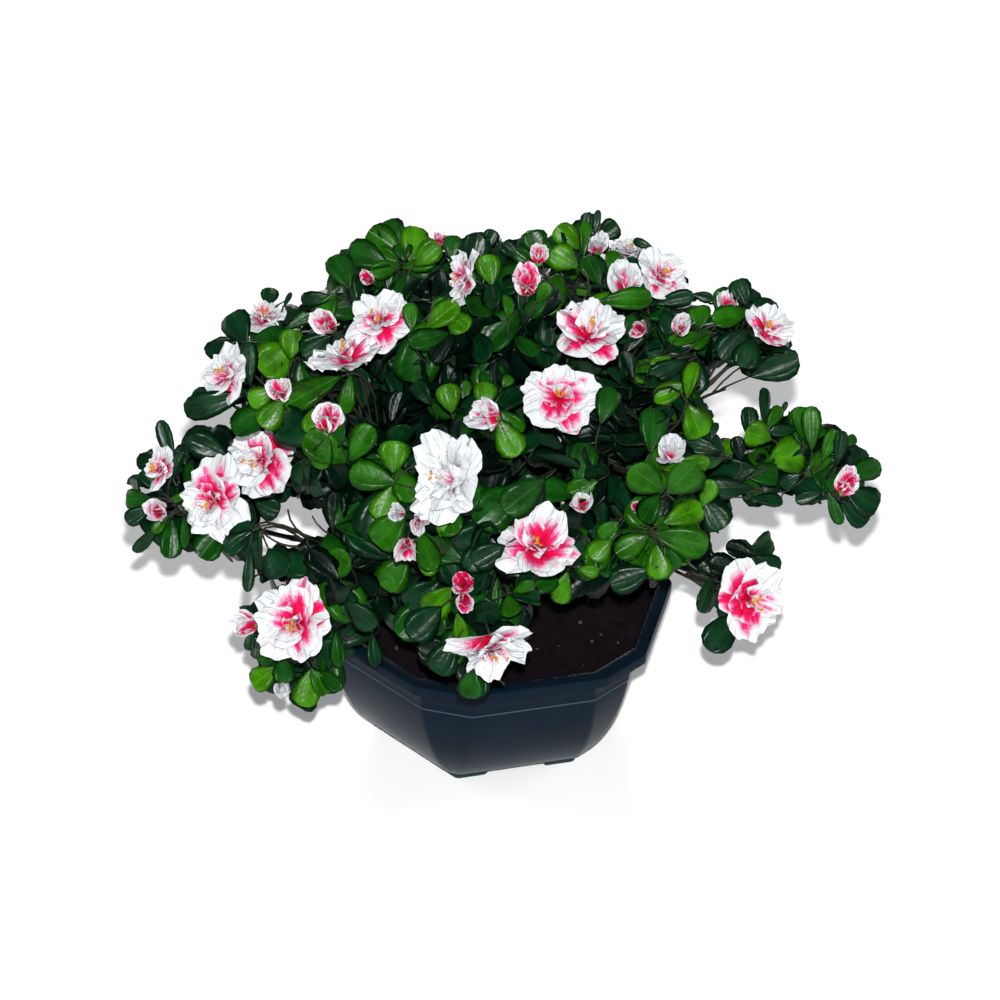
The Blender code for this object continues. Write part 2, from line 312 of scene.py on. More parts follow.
def outline(apothem, cut):
    """Plan of the pot: twelve corners of a hexagon whose own corners are cut off to a depth
    of cut, each softened by a parabola, with extra points along the sides between them."""
    reach = apothem / math.cos(math.pi / 6) - cut
    half = cut * math.tan(math.pi / 3)
    turn = POT_TURN + np.arange(6) * math.pi / 3
    out = np.stack((np.cos(turn), np.sin(turn)), -1)
    along = np.stack((-out[:, 1], out[:, 0]), -1)
    corner = np.stack((out * reach - along * half, out * reach + along * half), 1).reshape(12, 2)
    onward = np.roll(corner, -1, 0) - corner
    length = np.linalg.norm(onward, axis=1, keepdims=True)
    leave = onward / length
    arrive = np.roll(leave, 1, 0)
    soft = min(POT_ROUNDING, 0.4 * length.min())
    share = np.linspace(0.0, 1.0, ARC)[None, :, None]
    bend = (corner[:, None] - arrive[:, None] * soft * (1 - share) ** 2
            + leave[:, None] * soft * share ** 2)
    first = corner + leave * soft
    last = np.roll(corner - arrive * soft, -1, 0)
    parts = []
    for k in range(12):
        shares = (LONG_SHARES if k % 2 else SHORT_SHARES)[:, None]
        parts += [bend[k], first[k] + (last[k] - first[k]) * shares]
    return np.concatenate(parts)


def bowl_section(height):
    """Apothem and corner cut of the bowl's outside: both grow with the share of the way from
    the foot to the ridge, the apothem as (1 - (1 - share)^1.55)^0.67 and the cut as share^0.55."""
    share = max(0.0, (height - FOOT_HEIGHT) / (RIDGE_HEIGHT - FOOT_HEIGHT))
    swell = (1 - (1 - share) ** 1.55) ** 0.67
    return (FOOT_APOTHEM + (RIDGE_APOTHEM - FOOT_APOTHEM) * swell,
            FOOT_CUT + (RIDGE_CUT - FOOT_CUT) * share ** 0.55)


def upper_section(height):
    """Apothem and corner cut of the wall above the ridge, which widens evenly to the collar."""
    share = (height - RIDGE_HEIGHT) / (POT_HEIGHT - RIDGE_HEIGHT)
    return (RIDGE_APOTHEM + (COLLAR_APOTHEM - RIDGE_APOTHEM) * share,
            RIDGE_CUT + (COLLAR_CUT - RIDGE_CUT) * share)


def inner_section(height):
    """Apothem and corner cut of the pot's inside, one wall's thickness within the outside."""
    apothem, cut = bowl_section(height) if height < RIDGE_HEIGHT else upper_section(height)
    return apothem - WALL, cut


def pot_profile():
    """Rings of the pot from its underside over the rim to its floor: apothem, cut, height, and
    the share of the foot's arch that lifts the ring."""
    brim = COLLAR_APOTHEM + COLLAR_OVERHANG
    lip = COLLAR_APOTHEM - WALL
    rings = [(FOOT_APOTHEM + out, FOOT_CUT, height, arched) for out, height, arched in (
        (-0.0060, 0.0036, 0.0), (-0.0042, 0.0034, 0.0), (-0.0036, 0.0004, 1.0), (-0.0030, 0.0, 1.0),
        (-0.0005, 0.0, 1.0), (0.0, 0.0005, 1.0), (0.0, FOOT_HEIGHT - 0.0005, 0.0),
        (0.0003, FOOT_HEIGHT, 0.0))]
    heights = FOOT_HEIGHT + (RIDGE_HEIGHT - FOOT_HEIGHT) * np.linspace(0.03, 1.0, BOWL_RINGS) ** 1.35
    rings += [(*bowl_section(height), height, 0.0) for height in heights]
    rings += [(RIDGE_APOTHEM + RIDGE_STEP * out, RIDGE_CUT, RIDGE_HEIGHT + RIDGE_STEP * rise, 0.0)
              for out, rise in ((0.25, 0.0), (0.8, 0.35), (1.0, 0.9), (0.95, 1.5))]
    rings += [(*upper_section(height), height, 0.0) for height in UPPER_HEIGHTS]
    rings += [(apothem, COLLAR_CUT, height, 0.0) for apothem, height in (
        (COLLAR_APOTHEM, COLLAR_BASE - 0.0003), (COLLAR_APOTHEM + 0.0010, COLLAR_BASE),
        (brim - 0.0008, COLLAR_BASE), (brim, COLLAR_BASE + 0.0008), (brim, POT_HEIGHT - 0.0014),
        (brim - 0.0004, POT_HEIGHT - 0.0004), (brim - 0.0014, POT_HEIGHT), (lip + 0.0012, POT_HEIGHT),
        (lip + 0.0003, POT_HEIGHT - 0.0004), (lip, POT_HEIGHT - 0.0014))]
    return rings + [(*inner_section(height), height, 0.0) for height in INNER_HEIGHTS]


def lofted(profile):
    """Rings of the pot's plan at the profile's heights, and a pole in the middle of each end."""
    lifted = np.concatenate([part for k in range(12)
                             for part in (np.zeros(ARC), ARCHED if k % 2 else np.zeros(2))])
    rings = [np.column_stack((outline(apothem, cut), height + FOOT_ARCH * arched * lifted))
             for apothem, cut, height, arched in profile]
    poles = np.array(((0.0, 0.0, profile[0][2]), (0.0, 0.0, profile[-1][2])))
    return np.concatenate((*rings, poles)), tube_faces(1, len(rings), len(lifted))


plastic = Finish("pot_plastic", Specular_IOR_Level=0.05)
where = plastic.place()
smudge = plastic.grain(where, 22.0, 4.0)
scuff = plastic.grain(where, 260.0, 2.0)
height = plastic.parts(where)[2]
# Painted reflection of the white floor: the plastic is paler towards the foot.
floor_reflection = (1.0 - plastic.step(height, 0.002, 0.050)) * (0.55 + smudge * 0.5)
# Painted highlight: a pale band along the moulded ridge.
ridge_highlight = (plastic.step(height, RIDGE_HEIGHT - 0.0008, RIDGE_HEIGHT)
          * (1.0 - plastic.step(height, RIDGE_HEIGHT + 0.0010, RIDGE_HEIGHT + 0.0016)))
plastic_colour = plastic.between(smudge, (0.0024, 0.0070, 0.0140), (0.0042, 0.0110, 0.0195))
with_floor_reflection = plastic.between(floor_reflection, plastic_colour, (0.0200, 0.0330, 0.0430))
with_ridge_highlight = plastic.between(ridge_highlight * (0.45 + smudge * 0.6), with_floor_reflection, (0.0520, 0.0720, 0.0900))
plastic.wear("Base Color", with_ridge_highlight)
plastic.wear("Roughness", 0.20 + smudge * 0.14 + scuff * 0.05)
plastic.relief(smudge * 0.6 + scuff * 0.1, 0.0006, 0.35)

pot = piece("moulded_pot", *lofted(pot_profile()), [plastic], "pot_plastic", crease=POT_CREASE)
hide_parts("pot")


# ---------------------------------------------------------------- soil
# Dark crumbly topping fills the pot to just under the rim: an uneven bed with loose crumbs
# scattered over it, a few of them paler grit.
SOIL_TOP = 0.102
SOIL_BASE = 0.072
SOIL_GAP = 0.0005              # between the bed and the pot's wall
SOIL_SEED = 11
BED_SHARES = np.linspace(1.0, 0.02, 34)
BED_UNEVENNESS = 0.0016
CRUMBS = 2600
CRUMB_SIZE = (0.0007, 0.0021)
CRUMB_SPREAD = 0.0012
CRUMB_CREASE = math.radians(20)
GRIT_SHARE = 0.012


def unit(ways):
    """Directions at unit length."""
    return ways / np.linalg.norm(ways, axis=-1, keepdims=True)


def apart(places, others):
    """Distance of every place from every other one."""
    return np.linalg.norm(places[:, None] - others[None], axis=-1)


def ripple(points, spacing, seed, waves=18):
    """Smooth uneven field: the sum of sine waves in seeded directions, their lengths near the
    spacing, over the square root of their number."""
    rng = np.random.default_rng(seed)
    heading = unit(rng.normal(size=(waves, 3)))
    pace = math.tau / spacing * rng.uniform(0.6, 1.7, waves)
    phase = rng.uniform(0.0, math.tau, waves)
    return np.sin(points @ (heading * pace[:, None]).T + phase).sum(-1) / math.sqrt(waves)


def soil_bed():
    """Closed bed: the inner plan of the pot scaled towards the middle ring by ring, raised by
    two ripples, with its side down the wall and a flat underside."""
    plan, low = (outline(apothem - SOIL_GAP, cut)
                 for apothem, cut in (inner_section(SOIL_TOP), inner_section(SOIL_BASE)))
    flat = plan * BED_SHARES[:, None, None]
    top = np.concatenate((flat, np.full(flat.shape[:2] + (1,), SOIL_TOP)), -1)
    height = ripple(top, 0.024, SOIL_SEED) + 0.7 * ripple(top, 0.007, SOIL_SEED + 1)
    top[..., 2] += BED_UNEVENNESS * (0.55 * height - 0.4)
    base = np.column_stack((low, np.full(len(low), SOIL_BASE)))
    poles = np.array(((0.0, 0.0, SOIL_BASE), (0.0, 0.0, SOIL_TOP)))
    return np.concatenate((base, top.reshape(-1, 3), poles)), top


def icosahedron():
    """Twelve points and twenty faces: the corners of three golden rectangles."""
    g = (1 + math.sqrt(5)) / 2
    points = np.array([(-1, g, 0), (1, g, 0), (-1, -g, 0), (1, -g, 0), (0, -1, g), (0, 1, g),
                       (0, -1, -g), (0, 1, -g), (g, 0, -1), (g, 0, 1), (-g, 0, -1), (-g, 0, 1)])
    near = np.isclose(apart(points, points), 2.0)
    faces = []
    for a, b, c in itertools.combinations(range(12), 3):
        if near[a, b] and near[b, c] and near[a, c]:
            out = np.dot(np.cross(points[b] - points[a], points[c] - points[a]), points[a])
            faces.append((a, b, c) if out > 0 else (a, c, b))
    return points / math.sqrt(1 + g * g), np.array(faces)


grain_points, grain_faces = icosahedron()


def scattered(rng, places, sizes):
    """Grains, each turned at random, scaled by its sizes and set in place."""
    w, x, y, z = unit(rng.normal(size=(len(places), 4))).T
    spin = np.stack((
        np.stack((1 - 2 * (y * y + z * z), 2 * (x * y - z * w), 2 * (x * z + y * w)), -1),
        np.stack((2 * (x * y + z * w), 1 - 2 * (x * x + z * z), 2 * (y * z - x * w)), -1),
        np.stack((2 * (x * z - y * w), 2 * (y * z + x * w), 1 - 2 * (x * x + y * y)), -1)), -2)
    points = np.einsum("kij,knj->kni", spin, grain_points[None] * sizes[:, None]) + places[:, None]
    return points, [copies(grain_faces, len(places), len(grain_points))]


earth = Finish("soil", Specular_IOR_Level=0.08, Roughness=0.95)
where = earth.place()
clods = earth.grain(where, 90.0, 5.0, 0.7)
motes = earth.grain(where, 620.0, 2.0, 0.6)
earth.wear("Base Color", earth.between(
    clods * 0.6 + motes * 0.4, (0.0014, 0.0006, 0.0014), (0.0100, 0.0052, 0.0085)))
earth.relief(clods + motes * 0.5, 0.0012, 0.8)
grit = Finish("grit", Roughness=0.6)
grit.mottle(300.0, (0.02, 0.014, 0.02), (0.055, 0.042, 0.046))

bed_points, bed_top = soil_bed()
bed_faces = tube_faces(1, len(BED_SHARES) + 1, bed_top.shape[1])
soil_bed_piece = piece("soil_bed", bed_points, bed_faces, [earth], "soil")

rng = np.random.default_rng(SOIL_SEED)
spots = bed_top[1:-1].reshape(-1, 3)
ring_share = np.repeat(BED_SHARES[1:-1], bed_top.shape[1])
chosen = rng.choice(len(spots), CRUMBS, p=ring_share / ring_share.sum())
crumb_size = CRUMB_SIZE[0] + (CRUMB_SIZE[1] - CRUMB_SIZE[0]) * rng.random(CRUMBS) ** 2.2
crumb_shape = crumb_size[:, None] * rng.uniform(0.6, 1.2, (CRUMBS, 3))
crumb_place = spots[chosen] + rng.normal(0.0, CRUMB_SPREAD, (CRUMBS, 3)) * (1.0, 1.0, 0.0)
crumb_place[:, 2] += crumb_size * 0.3
crumb_points, crumb_faces = scattered(rng, crumb_place, crumb_shape)
is_grit = np.repeat(rng.random(CRUMBS) < GRIT_SHARE, len(grain_faces))
piece("soil_crumbs", crumb_points, crumb_faces, [earth, grit], "soil", kinds=is_grit, crease=CRUMB_CREASE)
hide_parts("soil")


# ---------------------------------------------------------------- stem and boughs
# A short stem of wires wrapped and dipped in brown plastic stands in the soil. Twenty wire
# boughs leave it, wrapped the same way, with a swelling where each leaf scar would be.
STEM_FOOT = 0.1003
STEM_TOP = 0.150
STEM_RINGS = 54
STEM_SIDES = 56
BOUGH_RINGS = 46
BOUGH_SIDES = 12
BOUGH_RADII = (0.0025, 0.0015)
TOP_RING_RADIUS = 0.0072
STEM_TOP_RADIUS = 0.0110
ROOT_DEPTH = 0.004             # how far a bough starts inside the stem
NODE_SPACING = 0.021           # between the swellings
BOUGH_REACH = 0.93             # share of the way to the middle of its mass
MASS_MIDDLES = {
    "crown": (-0.005, 0.015, 0.316), "upper_right": (0.098, 0.072, 0.281),
    "upper_back": (0.028, 0.138, 0.278), "upper_left": (-0.088, 0.092, 0.284),
    "upper_front_left": (-0.092, -0.048, 0.262), "upper_front": (-0.005, -0.090, 0.245),
    "upper_front_right": (0.085, -0.042, 0.262), "lower_right": (0.136, 0.000, 0.200),
    "lower_back_right": (0.108, 0.142, 0.195), "lower_back": (-0.015, 0.160, 0.185),
    "lower_back_left": (-0.132, 0.132, 0.200), "lower_left": (-0.160, 0.035, 0.222),
    "lower_front_left": (-0.108, -0.092, 0.200), "lower_front": (-0.008, -0.158, 0.176),
    "lower_front_right": (0.076, -0.084, 0.208), "tip_left": (-0.221, -0.020, 0.180),
    "tip_low_left": (-0.138, -0.108, 0.124), "tip_right": (0.227, 0.040, 0.209),
    "tip_low_right": (0.176, -0.025, 0.133), "tip_upper_right": (0.180, 0.095, 0.266),
}
# Boughs on the stem's top, with their turn in degrees, and boughs from its side, with the
# height at which they leave it and the place by which they pass.
UPRIGHT_BOUGHS = {"upper_right": 35, "upper_back": 80, "upper_left": 140,
                  "upper_front_left": 205, "upper_front": 265, "upper_front_right": 325}
SPREADING_BOUGHS = {
    "lower_right": (0.139, 0.055, 0.002, 0.170), "lower_back_right": (0.139, 0.045, 0.060, 0.165),
    "lower_back": (0.139, -0.006, 0.070, 0.165), "lower_back_left": (0.139, -0.055, 0.055, 0.168),
    "lower_left": (0.139, -0.065, 0.016, 0.175), "lower_front_left": (0.139, -0.045, -0.038, 0.165),
    "lower_front": (0.139, -0.003, -0.060, 0.152), "lower_front_right": (0.139, 0.030, -0.036, 0.160),
    "tip_upper_right": (0.126, 0.094, 0.066, 0.182), "tip_left": (0.122, -0.110, -0.012, 0.148),
    "tip_low_left": (0.122, -0.062, -0.050, 0.134), "tip_right": (0.122, 0.122, 0.042, 0.143),
    "tip_low_right": (0.122, 0.085, -0.006, 0.149),
}


def on_curve(start, pull, end, share):
    """Points of curves at shares of their way: (1 - t)^2 start + 2 t (1 - t) pull + t^2 end."""
    return start * (1 - share) ** 2 + pull * 2 * share * (1 - share) + end * share ** 2


def limbs(start, pull, end, radii, sides, relief=0.0, seed=0):
    """Closed tubes along curves, as rings and two poles. A ring lies square to its curve, and
    its radius is swelled by lengthwise furrows: a ripple over the turn round the limb and,
    stretched, over the way along it."""
    start, pull, end = (np.asarray(part, float)[:, None] for part in (start, pull, end))
    count, rings = radii.shape
    share = np.linspace(0.0, 1.0, rings)[None, :, None]
    line = on_curve(start, pull, end, share)
    heading = unit((pull - start) * (1 - share) + (end - pull) * share)
    across = np.cross(pull - start, end - start)
    level_way = np.cross(end - start, (0.31, 0.83, 0.11))
    size = np.linalg.norm(across, axis=-1, keepdims=True)
    across = unit(np.where(size > 1e-9, across / np.maximum(size, 1e-12), level_way))
    across = np.broadcast_to(across, heading.shape)
    outward = np.cross(across, heading)
    turn = np.arange(sides) * math.tau / sides
    radius = np.broadcast_to(radii[:, :, None], (count, rings, sides)).copy()
    if relief:
        steps = np.linalg.norm(np.diff(line, axis=1), axis=-1)
        travelled = np.concatenate((np.zeros((count, 1)), steps.cumsum(1)), 1)
        own = np.arange(count)[:, None, None]
        girth = radii.max()
        field = np.stack(np.broadcast_arrays(
            girth * 1.6 * np.cos(turn) + own, girth * 1.6 * np.sin(turn) - own * 2.0,
            travelled[..., None] * 0.22 + own * 3.0), -1)
        radius *= 1 + relief * ripple(field, girth * 1.5, seed)
    ring = (line[:, :, None] + radius[..., None] * (
        outward[:, :, None] * np.cos(turn)[:, None] + across[:, :, None] * np.sin(turn)[:, None]))
    ends = np.stack((line[:, 0] - heading[:, 0] * radii[:, :1] * 0.4,
                     line[:, -1] + heading[:, -1] * radii[:, -1:] * 0.4), 1)
    return np.concatenate((ring.reshape(count, -1, 3), ends), 1)


def limb_piece(name, curves, radii, sides, finish, slot, relief=0.0, seed=0):
    """Piece of the limbs that follow curves, each given as its start, pull and end."""
    points = limbs(*curves, radii, sides, relief, seed)
    return piece(name, points, tube_faces(*radii.shape, sides), [finish], slot)


bark = Finish("bark", Specular_IOR_Level=0.35)
where = bark.place()
fibre = bark.grain(where, 420.0, 4.0, 0.65)
patches = bark.grain(where, 55.0, 3.0)
bark.wear("Base Color", bark.between(patches, (0.006, 0.007, 0.004), (0.026, 0.023, 0.013)))
bark.wear("Roughness", 0.5 + fibre * 0.35)
bark.relief(fibre, 0.0005, 0.7)

rise = np.linspace(0.0, 1.0, STEM_RINGS)
flare = 0.0125 + 0.0045 * np.exp(-rise * 9.0) - 0.0013 * rise
rounded = np.sqrt(np.clip((1.0 - rise) / 0.05, 0.02, 1.0))
stem_curve = [[(0, 0, STEM_FOOT)], [(0, 0, 0.127)], [(0, 0, STEM_TOP + 0.0015)]]
stem = limb_piece("wrapped_stem", stem_curve, (flare * rounded)[None], STEM_SIDES, bark, "bark", 0.085, 21)
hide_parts("stem")

middles = {name: np.array(middle) for name, middle in MASS_MIDDLES.items()}
bough_lines = {"crown": (np.array((0, 0, STEM_TOP - ROOT_DEPTH)), np.array((0.0, 0.0, 0.205)))}
for name, degrees in UPRIGHT_BOUGHS.items():
    turn = math.radians(degrees)
    foot = np.array((math.cos(turn) * TOP_RING_RADIUS, math.sin(turn) * TOP_RING_RADIUS, STEM_TOP))
    bend = foot + (middles[name] - foot) * 0.38 + (0.0, 0.0, 0.012)
    bough_lines[name] = (foot - (0.0, 0.0, ROOT_DEPTH), bend)
for name, (height, *via) in SPREADING_BOUGHS.items():
    outwards = np.array((via[0], via[1], 0.0)) / math.hypot(via[0], via[1])
    foot = outwards * STEM_TOP_RADIUS + (0.0, 0.0, height)
    bough_lines[name] = (foot - outwards * ROOT_DEPTH, np.array(via))

bough_names = list(bough_lines)
bough_start, bough_via = (np.array(part) for part in zip(*bough_lines.values()))
bough_full = np.array([middles[name] for name in bough_names])
bough_pull = bough_via * 2 - (bough_start + bough_full) / 2
part_pull = bough_start + (bough_pull - bough_start) * BOUGH_REACH
part_end = on_curve(bough_start, bough_pull, bough_full, BOUGH_REACH)
bough_length = np.linalg.norm(part_end - bough_start, axis=1)[:, None]
along_bough = np.linspace(0.0, 1.0, BOUGH_RINGS)[None]
swelling = 1 + 0.28 * np.abs(np.cos(along_bough * bough_length / NODE_SPACING * math.pi)) ** 14
bough_radii = (BOUGH_RADII[0] + (BOUGH_RADII[1] - BOUGH_RADII[0]) * along_bough) * swelling
boughs = limb_piece("wrapped_boughs", (bough_start, part_pull, part_end), bough_radii, BOUGH_SIDES,
                    bark, "bark", 0.07, 22)
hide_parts(*[f"bough_{name}" for name in bough_names])


# ---------------------------------------------------------------- places of sprays and blooms
# Sprays of leaves and blooms stand on the outside of every mass. Those that face the front are set one by
# one along a line of sight; the rest are strewn evenly, with sprays within whose deepest tone is painted
# shade.
SPRAY_SEED = 31
SAMPLES = 5200
SPRAY_SPACING = 0.033
BLOOM_SPACING = 0.060
BUD_SPACING = 0.066
SPRAY_CLEAR = 0.024            # from the sprays set one by one and the blooms
BLOOM_CLEAR = 0.050            # from the blooms set one by one
BUD_CLEAR = 0.030              # from any bloom or bud
RIM_POINTS = 24                # of a bloom or bud, none of which may show
RIM_RADII = (0.018, 0.034)
RIM_LIFT = 0.015
HOLLOW_MARGIN = 14             # pixels between a hollow and a hidden bloom
BLOOM_MARGIN = 30.0            # pixels kept free of strewn sprays round a bloom in front
BUD_MARGIN = 17.0
SPRAY_MARGIN = 27.0
BLOOM_COVER = 0.060            # how far behind the masses' skin a hidden bloom stands
RIM_COVER = 0.045              # and its rim
BLOOM_SHARE = 0.8              # of the places found for hidden blooms
TIP_THINNING = 0.9             # of the strewn sprays that would show on the outer tips
SPRAY_DEPTH = 0.013            # how far a spray's middle lies inside its mass
FRONT_DEPTH = 0.011            # the same for the sprays set one by one
HOLLOW_DEPTH = 0.034           # and in the dark hollows between them
BLOOM_DEPTH = -0.004
INNER_SPRAYS = 8               # in each mass, but for the tips with their two
CORE_SPRAYS = 70               # in the heart of the crown, between the masses
CORE_MIDDLE = np.array((0.0, 0.030, 0.208))
CORE_HALVES = np.array((0.150, 0.125, 0.055))
ROOM = np.array((0.020, 0.017, 0.018))   # how far a bloom or leaf may reach past the model's box
# Hollows between the front sprays, where the leaves lie deep and take the deepest tone as painted shade:
# pixel and radius.
HOLLOWS = np.array((
    (512, 348, 48), (430, 385, 38), (604, 455, 36), (365, 590, 46), (606, 348, 34), (388, 412, 32),
    (346, 548, 24), (620, 395, 26), (486, 520, 26), (240, 500, 30), (700, 475, 20),
))
# Sprays in front: pixel of the middle, lean to the right and up, tone, number of leaves.
FRONT_SPRAYS = (
    (378, 258, -0.2, 0.35, "mid", 6), (402, 254, 0.1, 0.32, "mid", 7), (428, 318, 0.1, 0.15, "mid", 6),
    (489, 284, 0.05, 0.6, "mid", 5), (532, 248, 0.0, 0.8, "mid", 6), (563, 262, 0.05, 0.65, "bright", 7),
    (522, 304, -0.1, 0.3, "mid", 5), (628, 300, 0.0, 0.55, "mid", 5), (704, 334, -0.1, 0.45, "mid", 6),
    (744, 322, 0.2, 0.55, "mid", 5), (282, 362, 0.1, 0.45, "mid", 6), (273, 402, -0.2, 0.25, "mid", 5),
    (318, 392, 0.1, 0.3, "mid", 5), (326, 304, -0.35, 0.55, "mid", 6), (308, 422, 0.0, 0.2, "mid", 5),
    (322, 448, 0.1, 0.0, "dark", 4), (390, 480, 0.0, 0.15, "dark", 6), (492, 408, 0.15, 0.45, "mid", 6),
    (508, 440, 0.25, -0.2, "mid", 4), (440, 548, 0.0, 0.1, "mid", 6), (438, 596, -0.1, -0.1, "mid", 5),
    (392, 560, -0.15, 0.05, "dark", 5), (516, 594, 0.0, 0.2, "mid", 5), (560, 584, 0.2, -0.25, "mid", 4),
    (606, 532, 0.15, 0.1, "bright", 5), (580, 488, 0.0, 0.4, "mid", 5), (664, 496, 0.05, 0.25, "bright", 8),
    (672, 540, 0.2, -0.15, "bright", 6), (672, 386, -0.1, 0.2, "mid", 6), (698, 412, 0.3, 0.3, "mid", 4),
    (764, 440, 0.0, 0.55, "bright", 6), (812, 448, 0.15, 0.6, "mid", 5), (846, 466, 0.45, 0.25, "mid", 4),
    (298, 664, -0.1, -0.2, "mid", 6), (334, 648, 0.3, -0.2, "mid", 5), (166, 512, -0.35, -0.1, "mid", 6),
    (216, 538, -0.2, -0.45, "mid", 5), (176, 458, -0.1, 0.75, "dark", 5), (204, 440, -0.3, 0.5, "dark", 5),
    (236, 334, -0.5, 0.45, "dark", 5), (206, 398, -0.6, 0.1, "dark", 5), (268, 300, -0.1, 0.8, "dark", 4),
    (350, 268, -0.55, 0.55, "mid", 7), (456, 246, 0.0, 0.8, "mid", 6), (482, 246, 0.1, 0.85, "dark", 6),
    (596, 226, 0.0, 0.9, "dark", 5), (612, 246, 0.2, 0.7, "dark", 5), (640, 252, 0.3, 0.7, "dark", 4),
    (690, 300, 0.2, 0.7, "dark", 6), (738, 300, 0.1, 0.8, "dark", 5), (768, 312, 0.5, 0.6, "dark", 5),
    (770, 362, 0.55, -0.3, "dark", 5), (736, 348, 0.0, 0.1, "dark", 6), (760, 556, 0.3, 0.5, "dark", 6),
    (716, 578, -0.5, 0.2, "dark", 5), (728, 618, -0.2, -0.6, "dark", 4), (852, 498, 0.4, -0.4, "mid", 4),
    (722, 506, 0.3, -0.3, "dark", 4), (788, 482, 0.1, -0.1, "dark", 5), (466, 622, 0.0, -0.2, "mid", 4),
    (476, 676, 0.0, -0.75, "dark", 4), (524, 482, 0.0, 0.3, "mid", 5), (640, 568, 0.1, -0.3, "dark", 5),
    (272, 560, 0.1, 0.1, "dark", 5), (252, 578, -0.5, -0.3, "dark", 4),
)
# Blooms in front: pixel of the throat, lean to the right and up, width, flush of crimson, and
# the way to the right and up in which the flush is strongest.
FRONT_BLOOMS = np.array((
    (381, 321, -0.1, 0.35, 0.054, 0.48, 0.3, -0.9), (345, 364, -0.25, 0.89, 0.057, 0.44, 0.7, -0.5),
    (229, 376, -0.62, 0.15, 0.048, 0.46, 0.5, -0.6), (264, 461, -0.5, 0.05, 0.062, 0.52, 0.8, 0.0),
    (216, 501, -0.45, 0.02, 0.06, 0.5, 0.5, 0.6), (162, 469, -0.7, 0.25, 0.035, 0.5, 0.6, -0.3),
    (299, 623, -0.45, 0.05, 0.068, 0.6, 0.2, 0.1), (454, 481, -0.66, 0.1, 0.071, 0.17, 0.9, 0.0),
    (539, 550, 0.05, 0.62, 0.065, 0.6, 0.1, 0.0), (491, 641, 0.22, -0.84, 0.059, 0.44, -0.3, 0.6),
    (588, 338, 0.05, 0.66, 0.06, 0.6, -0.3, -0.5), (560, 398, 0.0, -0.05, 0.059, 0.62, -0.1, -0.4),
    (468, 280, -0.94, 0.12, 0.044, 0.42, 0.9, 0.1), (657, 276, 0.4, 0.48, 0.046, 0.44, 0.0, -0.6),
    (628, 254, 0.1, 0.9, 0.036, 0.2, 0.0, 0.0), (766, 332, 0.36, 0.55, 0.045, 0.62, -0.4, -0.6),
    (746, 598, 0.44, -0.1, 0.059, 0.72, -0.5, -0.2), (265, 321, -0.15, 0.85, 0.039, 0.52, 0.2, -0.3),
))
# Half-open blooms and buds in front: pixel, lean, length, flush, spread of the petals.
FRONT_BUDS = np.array((
    (162, 512, -0.3, 0.05, 0.018, 0.75, 0.36), (258, 626, -0.85, 0.1, 0.018, 0.75, 0.15),
    (282, 399, 0.0, 0.55, 0.017, 0.7, 0.34), (327, 429, 0.12, 0.6, 0.022, 0.8, 0.1),
    (403, 515, -0.6, 0.1, 0.012, 0.4, 0.16), (418, 520, 0.3, -0.1, 0.013, 0.62, 0.2),
    (408, 540, 0.0, -0.6, 0.018, 0.72, 0.2), (464, 586, -0.1, 0.4, 0.014, 1.0, 0.36),
    (464, 596, 0.05, -0.5, 0.013, 1.0, 0.3), (527, 294, -0.05, 0.62, 0.021, 0.88, 0.34),
    (499, 419, -0.8, 0.15, 0.023, 0.62, 0.2), (622, 294, 0.1, 0.6, 0.026, 0.5, 0.22),
    (642, 330, -0.4, 0.2, 0.011, 1.0, 0.2), (678, 334, 0.25, 0.6, 0.017, 0.6, 0.13),
    (728, 312, -0.1, 0.7, 0.017, 0.7, 0.3), (669, 458, 0.0, 0.55, 0.019, 0.4, 0.34),
    (583, 508, -0.1, 0.5, 0.014, 0.6, 0.45), (636, 510, 0.0, 0.5, 0.009, 0.9, 0.15),
    (841, 494, 0.3, 0.66, 0.023, 0.84, 0.14), (280, 684, 0.2, -0.5, 0.012, 0.2, 0.2),
    (334, 330, -0.5, 0.4, 0.018, 0.75, 0.3), (438, 246, 0.2, 0.8, 0.01, 0.9, 0.2),
    (538, 264, 0.1, 0.85, 0.013, 0.9, 0.25), (598, 254, -0.1, 0.8, 0.018, 0.45, 0.2),
    (372, 282, -0.5, 0.4, 0.012, 0.95, 0.2),
))
